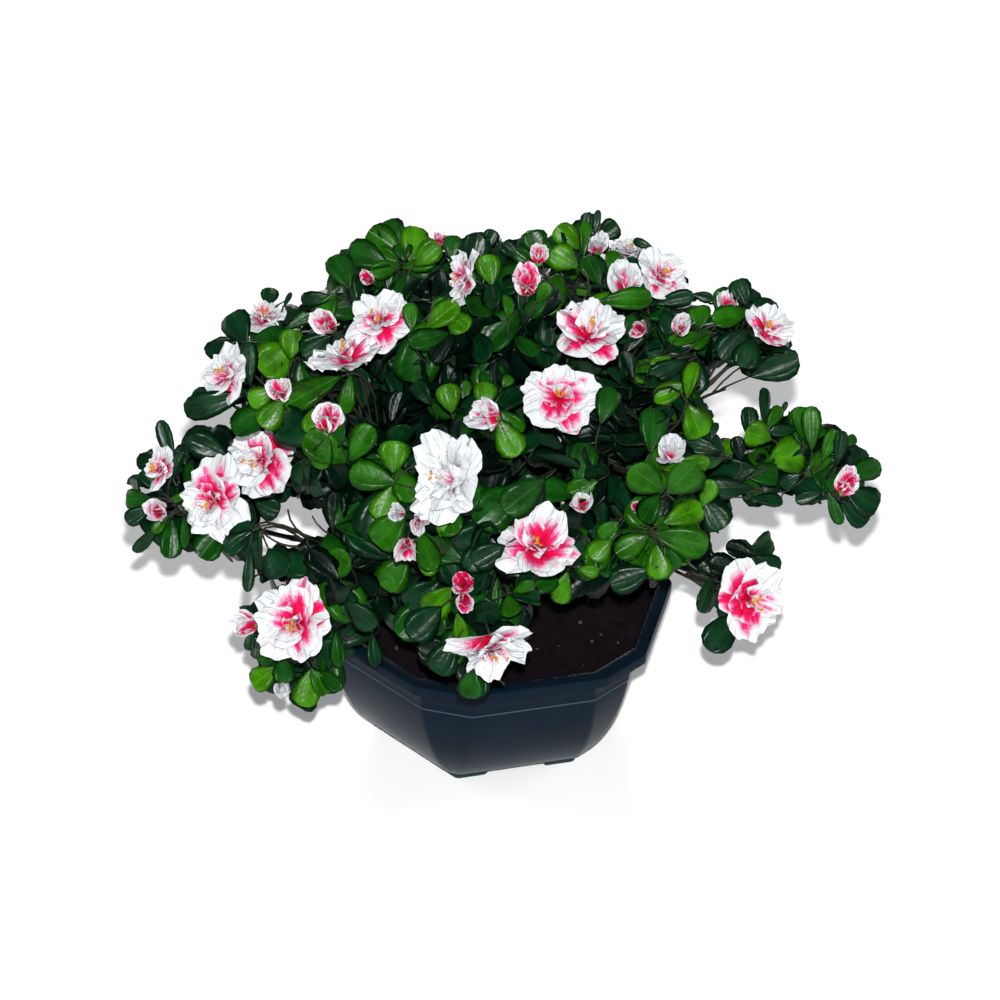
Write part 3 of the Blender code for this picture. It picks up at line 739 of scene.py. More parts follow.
# Single leaves in front, bough by bough: pixels of base and tip, width in pixels, tone.
FRONT_LEAVES = (
    # top
    (402, 254, 370, 232, 27, "bright"), (400, 246, 386, 222, 26, "mid"), (410, 264, 416, 227, 25, "lime"),
    (414, 266, 438, 245, 22, "lime"), (390, 266, 349, 248, 27, "mid"), (402, 264, 371, 274, 17, "bright"),
    (400, 262, 378, 254, 19, "bright"), (404, 262, 402, 244, 18, "mid"), (400, 268, 434, 262, 14, "bright"),
    (452, 262, 453, 236, 17, "mid"), (470, 270, 478, 235, 26, "dark"), (484, 250, 494, 231, 15, "dark"),
    (492, 286, 486, 256, 22, "lime"), (492, 274, 492, 310, 20, "dark"), (520, 258, 503, 244, 16, "dark"),
    (534, 264, 516, 252, 16, "mid"), (540, 256, 531, 232, 24, "mid"), (566, 258, 550, 237, 22, "dark"),
    (580, 250, 557, 228, 22, "lime"), (578, 268, 552, 252, 26, "lime"), (584, 264, 564, 276, 17, "bright"),
    (583, 258, 587, 222, 12, "bright"), (600, 286, 587, 257, 24, "mid"), (508, 320, 508, 294, 12, "bright"),
    (536, 304, 548, 284, 15, "bright"), (548, 300, 526, 313, 18, "mid"),
    # upper right
    (591, 236, 589, 213, 6, "dark"), (594, 238, 598, 211, 7, "dark"), (598, 238, 617, 225, 20, "dark"),
    (608, 272, 616, 251, 14, "bright"), (610, 292, 591, 312, 20, "lime"), (596, 302, 650, 297, 20, "bright"),
    (646, 300, 631, 253, 14, "dark"), (655, 250, 634, 240, 8, "dark"), (654, 304, 692, 296, 16, "dark"),
    (664, 309, 670, 334, 20, "dark"), (700, 330, 699, 305, 20, "bright"), (691, 294, 712, 299, 10, "dark"),
    (708, 334, 668, 343, 15, "bright"), (712, 330, 690, 348, 15, "bright"),
    (750, 310, 712, 322, 20, "bright"), (748, 308, 736, 281, 20, "dark"), (750, 300, 777, 308, 14, "dark"),
    (748, 328, 722, 358, 29, "dark"), (754, 338, 742, 367, 26, "dark"), (749, 377, 796, 359, 28, "dark"),
    (630, 334, 632, 316, 12, "mid"),
    # upper left
    (246, 346, 231, 312, 28, "dark"), (250, 388, 250, 343, 16, "dark"), (248, 342, 284, 331, 15, "mid"),
    (296, 346, 261, 370, 36, "lime"), (290, 360, 293, 331, 22, "lime"), (283, 330, 320, 309, 14, "mid"),
    (335, 298, 302, 299, 14, "dark"), (336, 292, 321, 319, 20, "bright"), (350, 290, 335, 255, 25, "mid"),
    (332, 336, 303, 354, 26, "dark"), (342, 376, 286, 403, 27, "bright"), (276, 391, 250, 402, 20, "lime"),
    (284, 400, 263, 426, 24, "lime"), (300, 362, 304, 385, 16, "mid"), (351, 373, 346, 413, 15, "bright"),
    (268, 306, 271, 288, 16, "dark"), (283, 308, 292, 293, 5, "dark"), (314, 407, 309, 433, 16, "lime"),
    (329, 436, 318, 468, 20, "bright"), (246, 394, 187, 412, 24, "dark"),
    # front
    (432, 320, 416, 348, 24, "bright"), (424, 330, 456, 304, 24, "lime"), (446, 312, 467, 330, 23, "lime"),
    (450, 333, 410, 344, 20, "mid"), (430, 314, 446, 300, 14, "bright"), (412, 332, 410, 304, 15, "bright"),
    (393, 474, 394, 442, 28, "lime"), (397, 484, 352, 471, 28, "bright"), (398, 466, 411, 502, 25, "bright"),
    (395, 484, 380, 519, 27, "lime"), (406, 511, 377, 544, 31, "bright"), (420, 530, 434, 572, 22, "bright"),
    (452, 414, 447, 385, 21, "lime"), (486, 410, 484, 383, 20, "lime"), (464, 404, 466, 381, 11, "bright"),
    (502, 388, 510, 376, 12, "bright"), (432, 406, 414, 383, 18, "dark"), (498, 418, 516, 455, 27, "lime"),
    (500, 410, 521, 432, 18, "bright"), (546, 478, 505, 509, 32, "mid"), (599, 480, 569, 493, 22, "bright"),
    (464, 562, 416, 540, 32, "mid"), (440, 538, 444, 507, 16, "lime"), (600, 425, 612, 388, 22, "mid"),
    # lower front
    (452, 587, 428, 613, 28, "lime"), (457, 612, 463, 641, 14, "lime"), (408, 556, 384, 587, 30, "bright"),
    (440, 556, 423, 572, 18, "lime"), (440, 581, 406, 604, 26, "dark"), (442, 606, 411, 635, 30, "dark"),
    (456, 640, 436, 671, 28, "dark"), (471, 668, 471, 698, 24, "mid"), (508, 594, 512, 619, 20, "bright"),
    (512, 592, 534, 584, 15, "bright"), (498, 576, 496, 608, 12, "mid"), (506, 545, 474, 562, 24, "dark"),
    (568, 571, 557, 603, 19, "lime"), (578, 568, 597, 573, 12, "lime"), (372, 632, 374, 665, 16, "dark"),
    (346, 600, 374, 628, 22, "dark"), (340, 580, 308, 552, 24, "deep"),
    # lower right
    (690, 384, 655, 399, 20, "lime"), (687, 400, 692, 363, 17, "lime"), (688, 361, 650, 376, 18, "dark"),
    (672, 357, 651, 364, 10, "lime"), (688, 404, 702, 436, 28, "lime"), (650, 454, 655, 409, 27, "mid"),
    (722, 452, 682, 441, 20, "dark"), (662, 470, 708, 461, 18, "lime"), (666, 494, 696, 464, 36, "bright"),
    (664, 492, 629, 467, 30, "bright"), (661, 494, 641, 519, 24, "mid"), (662, 524, 702, 506, 24, "lime"),
    (701, 508, 712, 481, 17, "lime"), (704, 500, 723, 527, 28, "dark"), (652, 533, 706, 546, 28, "bright"),
    (650, 535, 617, 553, 25, "bright"), (656, 544, 660, 577, 24, "lime"), (664, 546, 677, 568, 16, "mid"),
    (612, 540, 591, 557, 20, "lime"), (619, 521, 601, 538, 19, "bright"), (652, 570, 612, 584, 26, "dark"),
    # right tip
    (750, 440, 748, 408, 16, "dark"), (763, 426, 767, 387, 11, "dark"), (766, 432, 780, 407, 13, "bright"),
    (780, 416, 786, 402, 5, "dark"), (772, 440, 746, 431, 27, "lime"), (801, 429, 770, 431, 12, "dark"),
    (803, 440, 797, 408, 13, "bright"), (812, 452, 810, 408, 18, "bright"), (767, 462, 802, 452, 34, "lime"),
    (821, 463, 835, 431, 15, "bright"), (836, 467, 842, 432, 13, "dark"), (840, 446, 856, 438, 10, "mid"),
    (846, 476, 881, 463, 21, "mid"), (846, 490, 877, 508, 28, "dark"), (840, 500, 866, 523, 20, "dark"),
    (827, 490, 841, 523, 12, "mid"), (804, 478, 828, 453, 17, "bright"), (802, 474, 781, 485, 15, "dark"),
    (757, 468, 712, 474, 30, "dark"), (754, 488, 704, 488, 22, "dark"), (741, 462, 736, 437, 13, "deep"),
    (750, 498, 783, 501, 14, "dark"), (824, 491, 797, 501, 12, "dark"), (710, 441, 717, 423, 7, "dark"),
    # low right tip
    (747, 554, 775, 539, 22, "dark"), (757, 556, 727, 546, 16, "deep"), (748, 560, 781, 567, 18, "dark"),
    (744, 572, 710, 562, 22, "deep"), (713, 576, 700, 611, 24, "dark"), (736, 613, 707, 649, 28, "dark"),
    # left tip
    (174, 468, 161, 422, 14, "dark"), (171, 478, 183, 454, 17, "dark"), (163, 493, 141, 473, 13, "dark"),
    (152, 498, 123, 500, 18, "mid"), (150, 507, 127, 521, 16, "dark"), (160, 524, 133, 552, 13, "dark"),
    (172, 518, 170, 557, 21, "mid"), (184, 514, 186, 547, 10, "mid"), (167, 502, 189, 493, 10, "bright"),
    (176, 505, 191, 509, 13, "dark"), (169, 515, 154, 532, 11, "bright"), (228, 456, 191, 440, 27, "dark"),
    (232, 458, 234, 439, 11, "deep"), (223, 529, 202, 557, 29, "mid"), (253, 531, 227, 551, 20, "dark"),
    (250, 545, 249, 590, 11, "dark"),
    # low left tip
    (283, 640, 261, 662, 19, "mid"), (277, 667, 253, 685, 23, "lime"), (284, 655, 284, 683, 20, "mid"),
    (313, 667, 304, 705, 24, "lime"), (310, 667, 327, 693, 17, "bright"), (318, 669, 342, 690, 14, "mid"),
    (347, 640, 311, 660, 28, "dark"), (336, 630, 340, 666, 16, "mid"), (253, 628, 249, 650, 10, "dark"),
    (268, 548, 285, 575, 28, "dark"), (310, 548, 328, 580, 30, "deep"), (252, 500, 278, 512, 22, "dark"),
)
# Outline of the leaves as it shows in front, beyond which there is sky, soil or the pot, and
# the gap in them on the left.
CROWN_OUTLINE = np.array((
    (368, 228), (387, 221), (412, 226), (437, 240), (460, 239), (494, 231), (502, 243), (535, 231),
    (565, 226), (590, 210), (616, 221), (632, 238), (665, 250), (683, 281), (706, 294), (737, 280),
    (773, 297), (788, 330), (798, 362), (772, 381), (750, 378), (735, 366), (708, 372), (702, 404),
    (714, 430), (728, 449), (744, 422), (741, 405), (755, 396), (766, 384), (786, 402), (802, 406),
    (822, 424), (851, 433), (882, 460), (870, 478), (878, 508), (860, 523), (834, 514), (815, 500),
    (770, 507), (730, 511), (708, 533), (706, 556), (736, 537), (770, 534), (781, 566), (768, 576),
    (750, 600), (738, 630), (722, 652), (702, 640), (714, 616), (694, 604), (688, 574), (672, 572),
    (648, 590), (612, 586), (604, 600), (586, 590), (560, 603), (540, 606), (534, 632), (512, 662),
    (487, 698), (462, 698), (458, 678), (434, 674), (424, 655), (400, 636), (364, 626), (350, 664),
    (345, 686), (322, 698), (305, 712), (284, 698), (256, 691), (251, 664), (242, 620), (254, 588),
    (244, 560), (216, 558), (197, 548), (175, 558), (160, 545), (134, 552), (144, 526), (124, 510),
    (124, 488), (138, 460), (158, 421), (176, 442), (192, 432), (206, 424), (226, 434), (238, 420),
    (246, 405), (225, 402), (196, 417), (186, 404), (196, 370), (206, 348), (222, 332), (226, 308),
    (246, 301), (262, 287), (278, 290), (290, 306), (302, 301), (320, 289), (332, 276), (333, 262),
    (354, 242),
))
SKY_GAP = np.array((
    (262, 512), (285, 497), (312, 502), (335, 520), (325, 540), (300, 548), (276, 545), (262, 530),
))

mass_names = list(MASS_MIDDLES)
skin_points = []
skin_faces = []
for name in mass_names:
    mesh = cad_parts[f"mass_{name}"].data
    mesh.calc_loop_triangles()
    spots = np.empty(len(mesh.vertices) * 3)
    mesh.vertices.foreach_get("co", spots)
    corners = np.empty(len(mesh.loop_triangles) * 3, np.int32)
    mesh.loop_triangles.foreach_get("vertices", corners)
    skin_faces.append(corners.reshape(-1, 3) + sum(len(part) for part in skin_points))
    skin_points.append(spots.reshape(-1, 3))
skin_owner = np.repeat(np.arange(len(mass_names)), [len(part) for part in skin_faces])
skin_points = np.concatenate(skin_points)
skin_faces = np.concatenate(skin_faces)
skin = BVHTree.FromPolygons(skin_points.tolist(), skin_faces.tolist())


def on_crown(pixel, depth):
    """Where the line of sight through a pixel goes into the crown, moved on by depth, and the
    mass it meets. A line that passes the crown by takes its nearest place to it."""
    way = sight(pixel)
    hit, _, face, _ = skin.ray_cast(Vector(EYE), Vector(way))
    if hit is not None:
        return np.array(hit) + way * depth, skin_owner[face]
    steps = EYE + way * np.linspace(1.4, 2.4, 201)[:, None]
    near = [skin.find_nearest(Vector(step)) for step in steps]
    best = min(range(len(near)), key=lambda k: near[k][3])
    return steps[best], skin_owner[near[best][2]]


def placed(rows, depth):
    """Places, owners, axes and pixels of rows that begin with a pixel and a lean."""
    found = [(*on_crown(row[:2], depth), facing(row[2:4]), row[:2]) for row in rows]
    return [np.array(part) for part in zip(*found)]


def within(corners, pixels):
    """True where a pixel lies inside a polygon: a line to its right crosses the polygon's
    edges an odd number of times."""
    first = corners.astype(float)
    second = np.roll(first, -1, 0)
    x, y = pixels[..., 0, None], pixels[..., 1, None]
    spans = (first[:, 1] > y) != (second[:, 1] > y)
    rise = np.where(second[:, 1] == first[:, 1], 1.0, second[:, 1] - first[:, 1])
    crossing = first[:, 0] + (second[:, 0] - first[:, 0]) * (y - first[:, 1]) / rise
    return (spans & (x < crossing)).sum(-1) % 2 == 1


def leafy(pixels):
    """True where leaves show: within the crown's outline and off its gap."""
    return within(CROWN_OUTLINE, pixels) & ~within(SKY_GAP, pixels)


def in_view(points, slack=0.008):
    """True where no mass stands between the eye and a point, but for the last bit of the way."""
    seen = []
    for point in points:
        way = Vector(point - EYE)
        hit, _, _, distance = skin.ray_cast(Vector(EYE), way.normalized())
        seen.append(hit is None or distance > way.length - slack)
    return np.array(seen)


def crown_samples(rng, count, clearance=0.014):
    """Places on the outside of the masses, evenly by area, with their outward directions and
    their masses. Those on a face that meets a neighbouring mass are left out."""
    a, b, c = (skin_points[skin_faces[:, k]] for k in range(3))
    normal = np.cross(b - a, c - a)
    area = np.linalg.norm(normal, axis=1)
    face = rng.choice(len(area), count, p=area / area.sum())
    mix = rng.random((count, 2))
    mix[mix.sum(1) > 1] = 1 - mix[mix.sum(1) > 1]
    spot = a[face] + (b - a)[face] * mix[:, :1] + (c - a)[face] * mix[:, 1:]
    out = normal[face] / area[face][:, None]
    free = np.array([skin.ray_cast(Vector(place + way * 0.0002), Vector(way), clearance)[0] is None
                     for place, way in zip(spot, out)])
    return spot[free], out[free], skin_owner[face][free]


def strewn(choices, taken, spacing, taken_spacing):
    """Picks samples one after another, each clear of those picked and taken before it."""
    picked = []
    for k in choices:
        if (np.linalg.norm(taken - spots[k], axis=1) < taken_spacing).any():
            continue
        if picked and (np.linalg.norm(spots[picked] - spots[k], axis=1) < spacing).any():
            continue
        picked.append(k)
    return np.array(picked, int)


def leaf_in_front(x, y, tip_x, tip_y, width):
    """Base, owner, along, normal, length and half width of a leaf that shows from one pixel to
    another: it stands on the crown there and lies nearly across the line of sight."""
    base, owner = on_crown((x, y), 0.002)
    scale = depth_of(base) / FOCAL
    along = right * (tip_x - x) * scale - up * (tip_y - y) * scale
    length = np.linalg.norm(along) * 1.05
    tilt = rng.normal(0.0, 0.15) - 0.08
    along = along / length + ahead * tilt
    along /= np.linalg.norm(along)
    towards = facing(rng.normal(0.0, 0.19, 2))
    normal = towards - along * (towards @ along)
    return base, owner, along, normal / np.linalg.norm(normal), length, width * scale * 0.60


def eased(out, lift):
    """Outward direction drawn towards the top by lift, at unit length."""
    return unit(out + np.array((0.0, 0.0, lift)))


def away(pixels, distance):
    """True where a sample is hidden, or shows at least a distance from each of the pixels."""
    return ~seen | (apart(where_seen, pixels).min(1) > distance)


rng = np.random.default_rng(SPRAY_SEED)
bloom_place, bloom_owner, bloom_axis, bloom_pixels = placed(FRONT_BLOOMS, BLOOM_DEPTH)
bud_place, bud_owner, bud_axis, bud_pixels = placed(FRONT_BUDS, 0.0)
spray_place, spray_owner, spray_axis, spray_pixels = placed(FRONT_SPRAYS, FRONT_DEPTH)
front_base, front_owner, front_along, front_normal, front_length, front_half = (
    np.array(part) for part in zip(*[leaf_in_front(*row[:5]) for row in FRONT_LEAVES]))

spots, outs, owners = crown_samples(rng, SAMPLES)
seen = in_view(spots)
where_seen = pixels_of(spots)
hollow_gap = apart(where_seen, HOLLOWS[:, :2]) - HOLLOWS[:, 2]

# Blooms and buds out of the front view, well behind the crown: no part of their rim shows.
hidden = ~seen & (outs @ ahead > 0.1) & (outs[:, 2] > -0.55) & ~in_view(spots, BLOOM_COVER)
for k in range(RIM_POINTS):
    turn = k * math.tau / RIM_POINTS
    rim_way = right * math.cos(turn) + up * math.sin(turn)
    rim = spots + outs * RIM_LIFT + rim_way * RIM_RADII[k % 2]
    hidden &= leafy(pixels_of(rim)) & ~in_view(rim, RIM_COVER)
hidden &= (hollow_gap > HOLLOW_MARGIN).all(1)
order = np.flatnonzero(hidden)
picked = strewn(order, bloom_place, BLOOM_SPACING, BLOOM_CLEAR)
more_bloom = picked[rng.random(len(picked)) < BLOOM_SHARE]
order = order[~np.isin(order, picked)]
taken = np.concatenate((bloom_place, spots[more_bloom], bud_place))
more_bud = strewn(order, taken, BUD_SPACING, BUD_CLEAR)

# Sprays over the rest of the outside. Few of them show on the outer tips.
free = (away(bloom_pixels, BLOOM_MARGIN) & away(bud_pixels, BUD_MARGIN)
        & away(spray_pixels, SPRAY_MARGIN))
on_tip = np.array([name.startswith("tip") for name in mass_names])
free &= ~(on_tip[owners] & seen & (rng.random(len(seen)) < TIP_THINNING))
order = np.flatnonzero(free & leafy(where_seen))
taken = np.concatenate((spray_place, spots[more_bloom]))
more_spray = strewn(order, taken, SPRAY_SPACING, SPRAY_CLEAR)
count = len(more_spray)

# Their tones: fewer bright ones in front, dark ones below, and the deepest in the hollows as painted shade.
more_tone = rng.choice(["lime", "bright", "mid", "dark", "deep"], count, p=(0.16, 0.20, 0.24, 0.28, 0.12))
front_fill = rng.choice(["bright", "mid", "dark", "deep"], count, p=(0.12, 0.26, 0.38, 0.24))
in_hollow = seen[more_spray] & (hollow_gap[more_spray] < 0).any(1)
more_tone = np.where(in_hollow, "deep", np.where(seen[more_spray], front_fill, more_tone))
more_tone = np.where((outs[more_spray][:, 2] < -0.3) & (more_tone != "deep"), "dark", more_tone)
more_depth = np.where(in_hollow, HOLLOW_DEPTH, SPRAY_DEPTH)[:, None]
more_place = spots[more_spray] - outs[more_spray] * more_depth

# Sprays inside each mass and in the heart of the crown, all in the deepest tone as painted shade.
inner_place = []
inner_owner = []
for number, name in enumerate(mass_names):
    low, high = (np.array(corner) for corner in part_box(f"mass_{name}"))
    spoke = unit(rng.normal(size=(2 if on_tip[number] else INNER_SPRAYS, 3)))
    reach = rng.uniform(0.30, 0.62, (len(spoke), 1))
    inner_place.append((high + low) / 2 + spoke * ((high - low) / 2) * reach)
    inner_owner.append(np.full(len(spoke), number))
spoke = unit(rng.normal(size=(CORE_SPRAYS, 3)))
core_place = CORE_MIDDLE + CORE_HALVES * spoke * rng.uniform(0.45, 1.0, (CORE_SPRAYS, 1))
off = apart(core_place, np.array(list(middles.values())))
inner_place = np.concatenate((*inner_place, core_place))
inner_owner = np.concatenate((*inner_owner, off.argmin(1)))
inner_out = eased(inner_place - np.array([middles[mass_names[k]] for k in inner_owner]), 0.02)
inside = len(inner_place)

# All sprays, blooms and buds: those in front, then the strewn ones, then those inside.
more_out = eased(outs[more_spray] + rng.normal(0.0, 0.22, (count, 3)), 0.35)
spray_axis = np.concatenate((spray_axis, more_out, inner_out))
spray_place = np.concatenate((spray_place, more_place, inner_place))
spray_owner = np.concatenate((spray_owner, owners[more_spray], inner_owner))
spray_tone = np.concatenate(([row[4] for row in FRONT_SPRAYS], more_tone, np.full(inside, "deep")))
spray_leaves = np.concatenate(([row[5] for row in FRONT_SPRAYS], rng.integers(5, 9, count),
                               rng.integers(5, 8, inside)))

count = len(more_bloom)
bloom_axis = np.concatenate((bloom_axis, eased(outs[more_bloom] + rng.normal(0.0, 0.2, (count, 3)), 0.25)))
bloom_place = np.concatenate((bloom_place, spots[more_bloom] + outs[more_bloom] * 0.002))
bloom_owner = np.concatenate((bloom_owner, owners[more_bloom]))
bloom_width = np.concatenate((FRONT_BLOOMS[:, 4], rng.uniform(0.046, 0.064, count)))
bloom_flush = np.concatenate((FRONT_BLOOMS[:, 5], rng.choice(
    (0.12, 0.45, 0.55, 0.65, 0.78), count, p=(0.12, 0.24, 0.26, 0.22, 0.16))))
front_blush = FRONT_BLOOMS[:, 6:7] * right + FRONT_BLOOMS[:, 7:] * up
bloom_blush = np.concatenate((front_blush, np.zeros((count, 3))))
span = bloom_width[:, None] * 0.56 * np.sqrt(1 - 0.6 * bloom_axis ** 2)
bloom_place = np.clip(bloom_place, cad_box[0] - ROOM + span, cad_box[1] + ROOM - span)

count = len(more_bud)
bud_axis = np.concatenate((bud_axis, eased(outs[more_bud] + rng.normal(0.0, 0.3, (count, 3)), 0.3)))
bud_place = np.concatenate((bud_place, spots[more_bud] - outs[more_bud] * 0.002))
bud_owner = np.concatenate((bud_owner, owners[more_bud]))
bud_length, bud_flush, bud_spread = (
    np.concatenate((FRONT_BUDS[:, column], rng.uniform(low, high, count)))
    for column, low, high in ((4, 0.011, 0.024), (5, 0.35, 1.0), (6, 0.15, 0.5)))


# ---------------------------------------------------------------- twigs
# Thin wire twigs, dipped in brown plastic. Each bough forks into a few side limbs inside its
# mass, and from them one twig runs to the middle of every spray, bloom and bud.
TWIG_SEED = 41
SITES_PER_FORK = 5
FORK_RADII = (0.00135, 0.0010)
FORK_RINGS = 12
FORK_SIDES = 8
TWIG_RADII = (0.00095, 0.00062)
TWIG_RINGS = 7
TWIG_SIDES = 6

rng = np.random.default_rng(TWIG_SEED)
site_place = np.concatenate((spray_place, bloom_place - bloom_axis * 0.004, bud_place - bud_axis * 0.003,
                             front_base))
site_axis = np.concatenate((spray_axis, bloom_axis, bud_axis, front_along))
site_owner = np.concatenate((spray_owner, bloom_owner, bud_owner, front_owner))
fork_lines = []
twig_lines = []
for number, name in enumerate(mass_names):
    mine = np.flatnonzero(site_owner == number)
    line = bough_names.index(name)
    route = bough_start[line], bough_pull[line], bough_full[line]
    seeds = mine[:1]
    while len(seeds) * SITES_PER_FORK < len(mine):
        gap = apart(site_place[mine], site_place[seeds]).min(1)
        seeds = np.append(seeds, mine[gap.argmax()])
    group = apart(site_place[mine], site_place[seeds]).argmin(1)
    for k in range(len(seeds)):
        members = mine[group == k]
        leave = on_curve(*route, rng.uniform(0.66, 0.92))
        heading = on_curve(*route, 1.0) - on_curve(*route, 0.85)
        goal = leave + (site_place[members].mean(0) - leave) * 0.62
        pull = leave + heading / np.linalg.norm(heading) * np.linalg.norm(goal - leave) * 0.45
        fork_lines.append((leave, pull, goal))
        for site in members:
            root = on_curve(leave, pull, goal, rng.uniform(0.55, 1.0))
            end = site_place[site]
            distance = np.linalg.norm(end - root)
            twig_lines.append((root, end - site_axis[site] * distance * rng.uniform(0.35, 0.6), end))

fork_lines = np.array(fork_lines).transpose(1, 0, 2)
twig_lines = np.array(twig_lines).transpose(1, 0, 2)
twig_count = twig_lines.shape[1]
fork_radii = np.linspace(*FORK_RADII, FORK_RINGS)[None] * np.ones((fork_lines.shape[1], 1))
limb_piece("side_limbs", fork_lines, fork_radii, FORK_SIDES, bark, "bark", 0.06, 42)
twig_radii = np.linspace(*TWIG_RADII, TWIG_RINGS)[None] * rng.uniform(0.85, 1.2, (twig_count, 1))
limb_piece("twigs", twig_lines, twig_radii, TWIG_SIDES, bark, "bark")


# ---------------------------------------------------------------- leaves
# Broad spoon-shaped leaves of pressed and waxed cloth, in whorls at the ends of the twigs and
# singly along them. Their top is glossy, from lime to deep bluish green by spray, with the veins pressed
# in and painted paler as a highlight, and painted shade on the base and rim; their underside is dull
# grey-green.
LEAF_SEED = 51
LEAF_ROWS = np.array((0.07, 0.26, 0.47, 0.68, 0.87, 0.975))
LEAF_ACROSS = np.array((1.0, 0.5, 0.0, -0.5, -1.0, -0.5, 0.0, 0.5))
LEAF_UNDER = np.array((0, 0, 0, 0, 0, 1, 1, 1), bool)      # points on the underside
FACE_UNDER = np.array((0, 0, 0, 0, 1, 1, 1, 1), bool)      # and faces
LEAF_THICKNESS = 0.0006
LEAF_PUFF = 0.0009             # how far each half of the blade bulges between rib and edge
LEAF_LENGTH = 0.0365
GOLDEN_TURN = math.radians(137.508)
LEAF_TONES = {"lime": (0.034, 0.155, 0.001), "bright": (0.0110, 0.084, 0.001),
              "mid": (0.0040, 0.050, 0.003), "dark": (0.0015, 0.023, 0.0065),
              "deep": (0.0006, 0.0065, 0.0030)}
TONE_NAMES = list(LEAF_TONES)
TWIG_LEAF_SHARES = np.array((0.50, 0.68, 0.85))   # of the way along a twig
GROUND_CLEAR = 0.012           # lowest place for a leaf
POT_INSIDE = 0.10              # radius within which it must stand above the soil
SHOWS_LEAFY = 0.86             # share of a leaf that has to lie within the crown's outline
PETALS_WIDE = 0.46             # radius kept free of leaves over a bloom's width
PETALS_HIGH = 0.045            # and how far up
BLOOM_PIXELS = 560.0           # pixels kept free round a bloom in front for a metre of width
BUD_PIXELS = 800.0             # and round a bud for a metre of length
COVER_POINTS = 4               # points over a bud or leaf in front that count as hiding it
COVER_DEPTH = 0.004


def leaf_points(base, along, normal, length, half_width, cup, curl, twist):
    """Closed thin leaves. A leaf's half width follows v (1 - v)^0.45, its rib is an arc
    that turns by curl from base to tip, and across it the blade rises with the square of the
    distance from the rib, bulges halfway to the edge, and turns by twist along the way."""
    rows = np.concatenate(((0.0,), LEAF_ROWS, (1.0,)))
    shape = rows * (1 - rows) ** 0.45 / 0.407          # over its greatest value
    safe = np.where(np.abs(curl) < 1e-3, 1e-3, curl)[:, None]
    forward = length[:, None] * np.sin(safe * rows) / safe
    rise = length[:, None] * (1 - np.cos(safe * rows)) / safe
    half_width, cup, curl, twist = (part[:, None, None] for part in (half_width, cup, curl, twist))
    swell = np.sqrt(shape)[None, :, None]
    u = LEAF_ACROSS
    x = half_width * shape[None, :, None] * u
    z = (cup * np.abs(x) * np.abs(u) + LEAF_PUFF * swell * np.sin(math.pi * np.abs(u))
         - LEAF_THICKNESS * LEAF_UNDER * swell)
    turned = twist * rows[None, :, None]
    x, z = x * np.cos(turned) - z * np.sin(turned), x * np.sin(turned) + z * np.cos(turned)
    bent = curl * rows[None, :, None]
    y = forward[:, :, None] - z * np.sin(bent)
    z = rise[:, :, None] + z * np.cos(bent)
    side = np.cross(normal, along)
    local = (x[..., None] * side[:, None, None] + y[..., None] * along[:, None, None]
             + z[..., None] * normal[:, None, None]) + base[:, None, None]
    rings = local[:, 1:-1].reshape(len(base), -1, 3)
    return np.concatenate((rings, local[:, 0, 2:3], local[:, -1, 2:3]), 1)


def chart_of(across, rows, *poles):
    """Map of a leaf or petal: 0 to 1 across it, and 0 to 1 from base to tip."""
    grid = np.stack(np.meshgrid(across * 0.5 + 0.5, rows), -1).reshape(-1, 2)
    return np.concatenate((grid, *poles))


def leaf_piece(name, points, finishes):
    """Piece of leaves; the second finish, if any, is for their undersides."""
    faces = tube_faces(len(points), len(LEAF_ROWS), len(LEAF_ACROSS))
    under = np.tile(FACE_UNDER, len(points) * (len(LEAF_ROWS) + 1)) if len(finishes) > 1 else None
    chart = np.tile(chart_of(LEAF_ACROSS, LEAF_ROWS, ((0.5, 0.0), (0.5, 1.0))), (len(points), 1))
    return piece(name, points, faces, finishes, "leaves", kinds=under, chart=chart)


def around(axis, turn, hint):
    """Unit directions square to the axes, at a turn round them from their cross product with
    the hint."""
    aside = unit(np.cross(axis, hint))
    return aside * np.cos(turn)[:, None] + np.cross(axis, aside) * np.sin(turn)[:, None]


def lifted_from(radial, axis, lift):
    """Along and normal of leaves that stand out from an axis and are lifted towards it."""
    lift = lift[:, None]
    return radial * np.cos(lift) + axis * np.sin(lift), axis * np.cos(lift) - radial * np.sin(lift)


# Whorls: leaves follow one another by the golden turn, and stand up more towards the middle.
rng = np.random.default_rng(LEAF_SEED)
spray_of = np.repeat(np.arange(len(spray_place)), spray_leaves)
order = np.concatenate([np.arange(count) for count in spray_leaves])
share = order / spray_leaves[spray_of]
axis = spray_axis[spray_of]
turn = (rng.uniform(0, math.tau, len(spray_place))[spray_of] + order * GOLDEN_TURN
        + rng.normal(0, 0.16, len(order)))
radial = around(axis, turn, (0.21, 0.35, 0.91))
lift = np.radians(14 + 46 * share ** 1.4) + rng.normal(0, 0.16, len(order))
along, normal = lifted_from(radial, axis, lift)
base = spray_place[spray_of] - axis * (0.010 * (1 - share))[:, None] + radial * 0.0010
tone = np.array([TONE_NAMES.index(name) for name in spray_tone])[spray_of]
shift = rng.random(len(order))
tone = np.where(shift < 0.16, np.minimum(tone + 1, len(TONE_NAMES) - 1), tone)
length = LEAF_LENGTH * (1 - 0.34 * share) * rng.uniform(0.84, 1.10, len(order))
in_front = spray_of < len(FRONT_SPRAYS)
length *= np.where(in_front, 0.98 + 0.045 * (spray_leaves[spray_of] - 4), 1.0)
tone = np.where(in_front & (shift < 0.16) & (tone < 2), tone - 1, tone).clip(0)

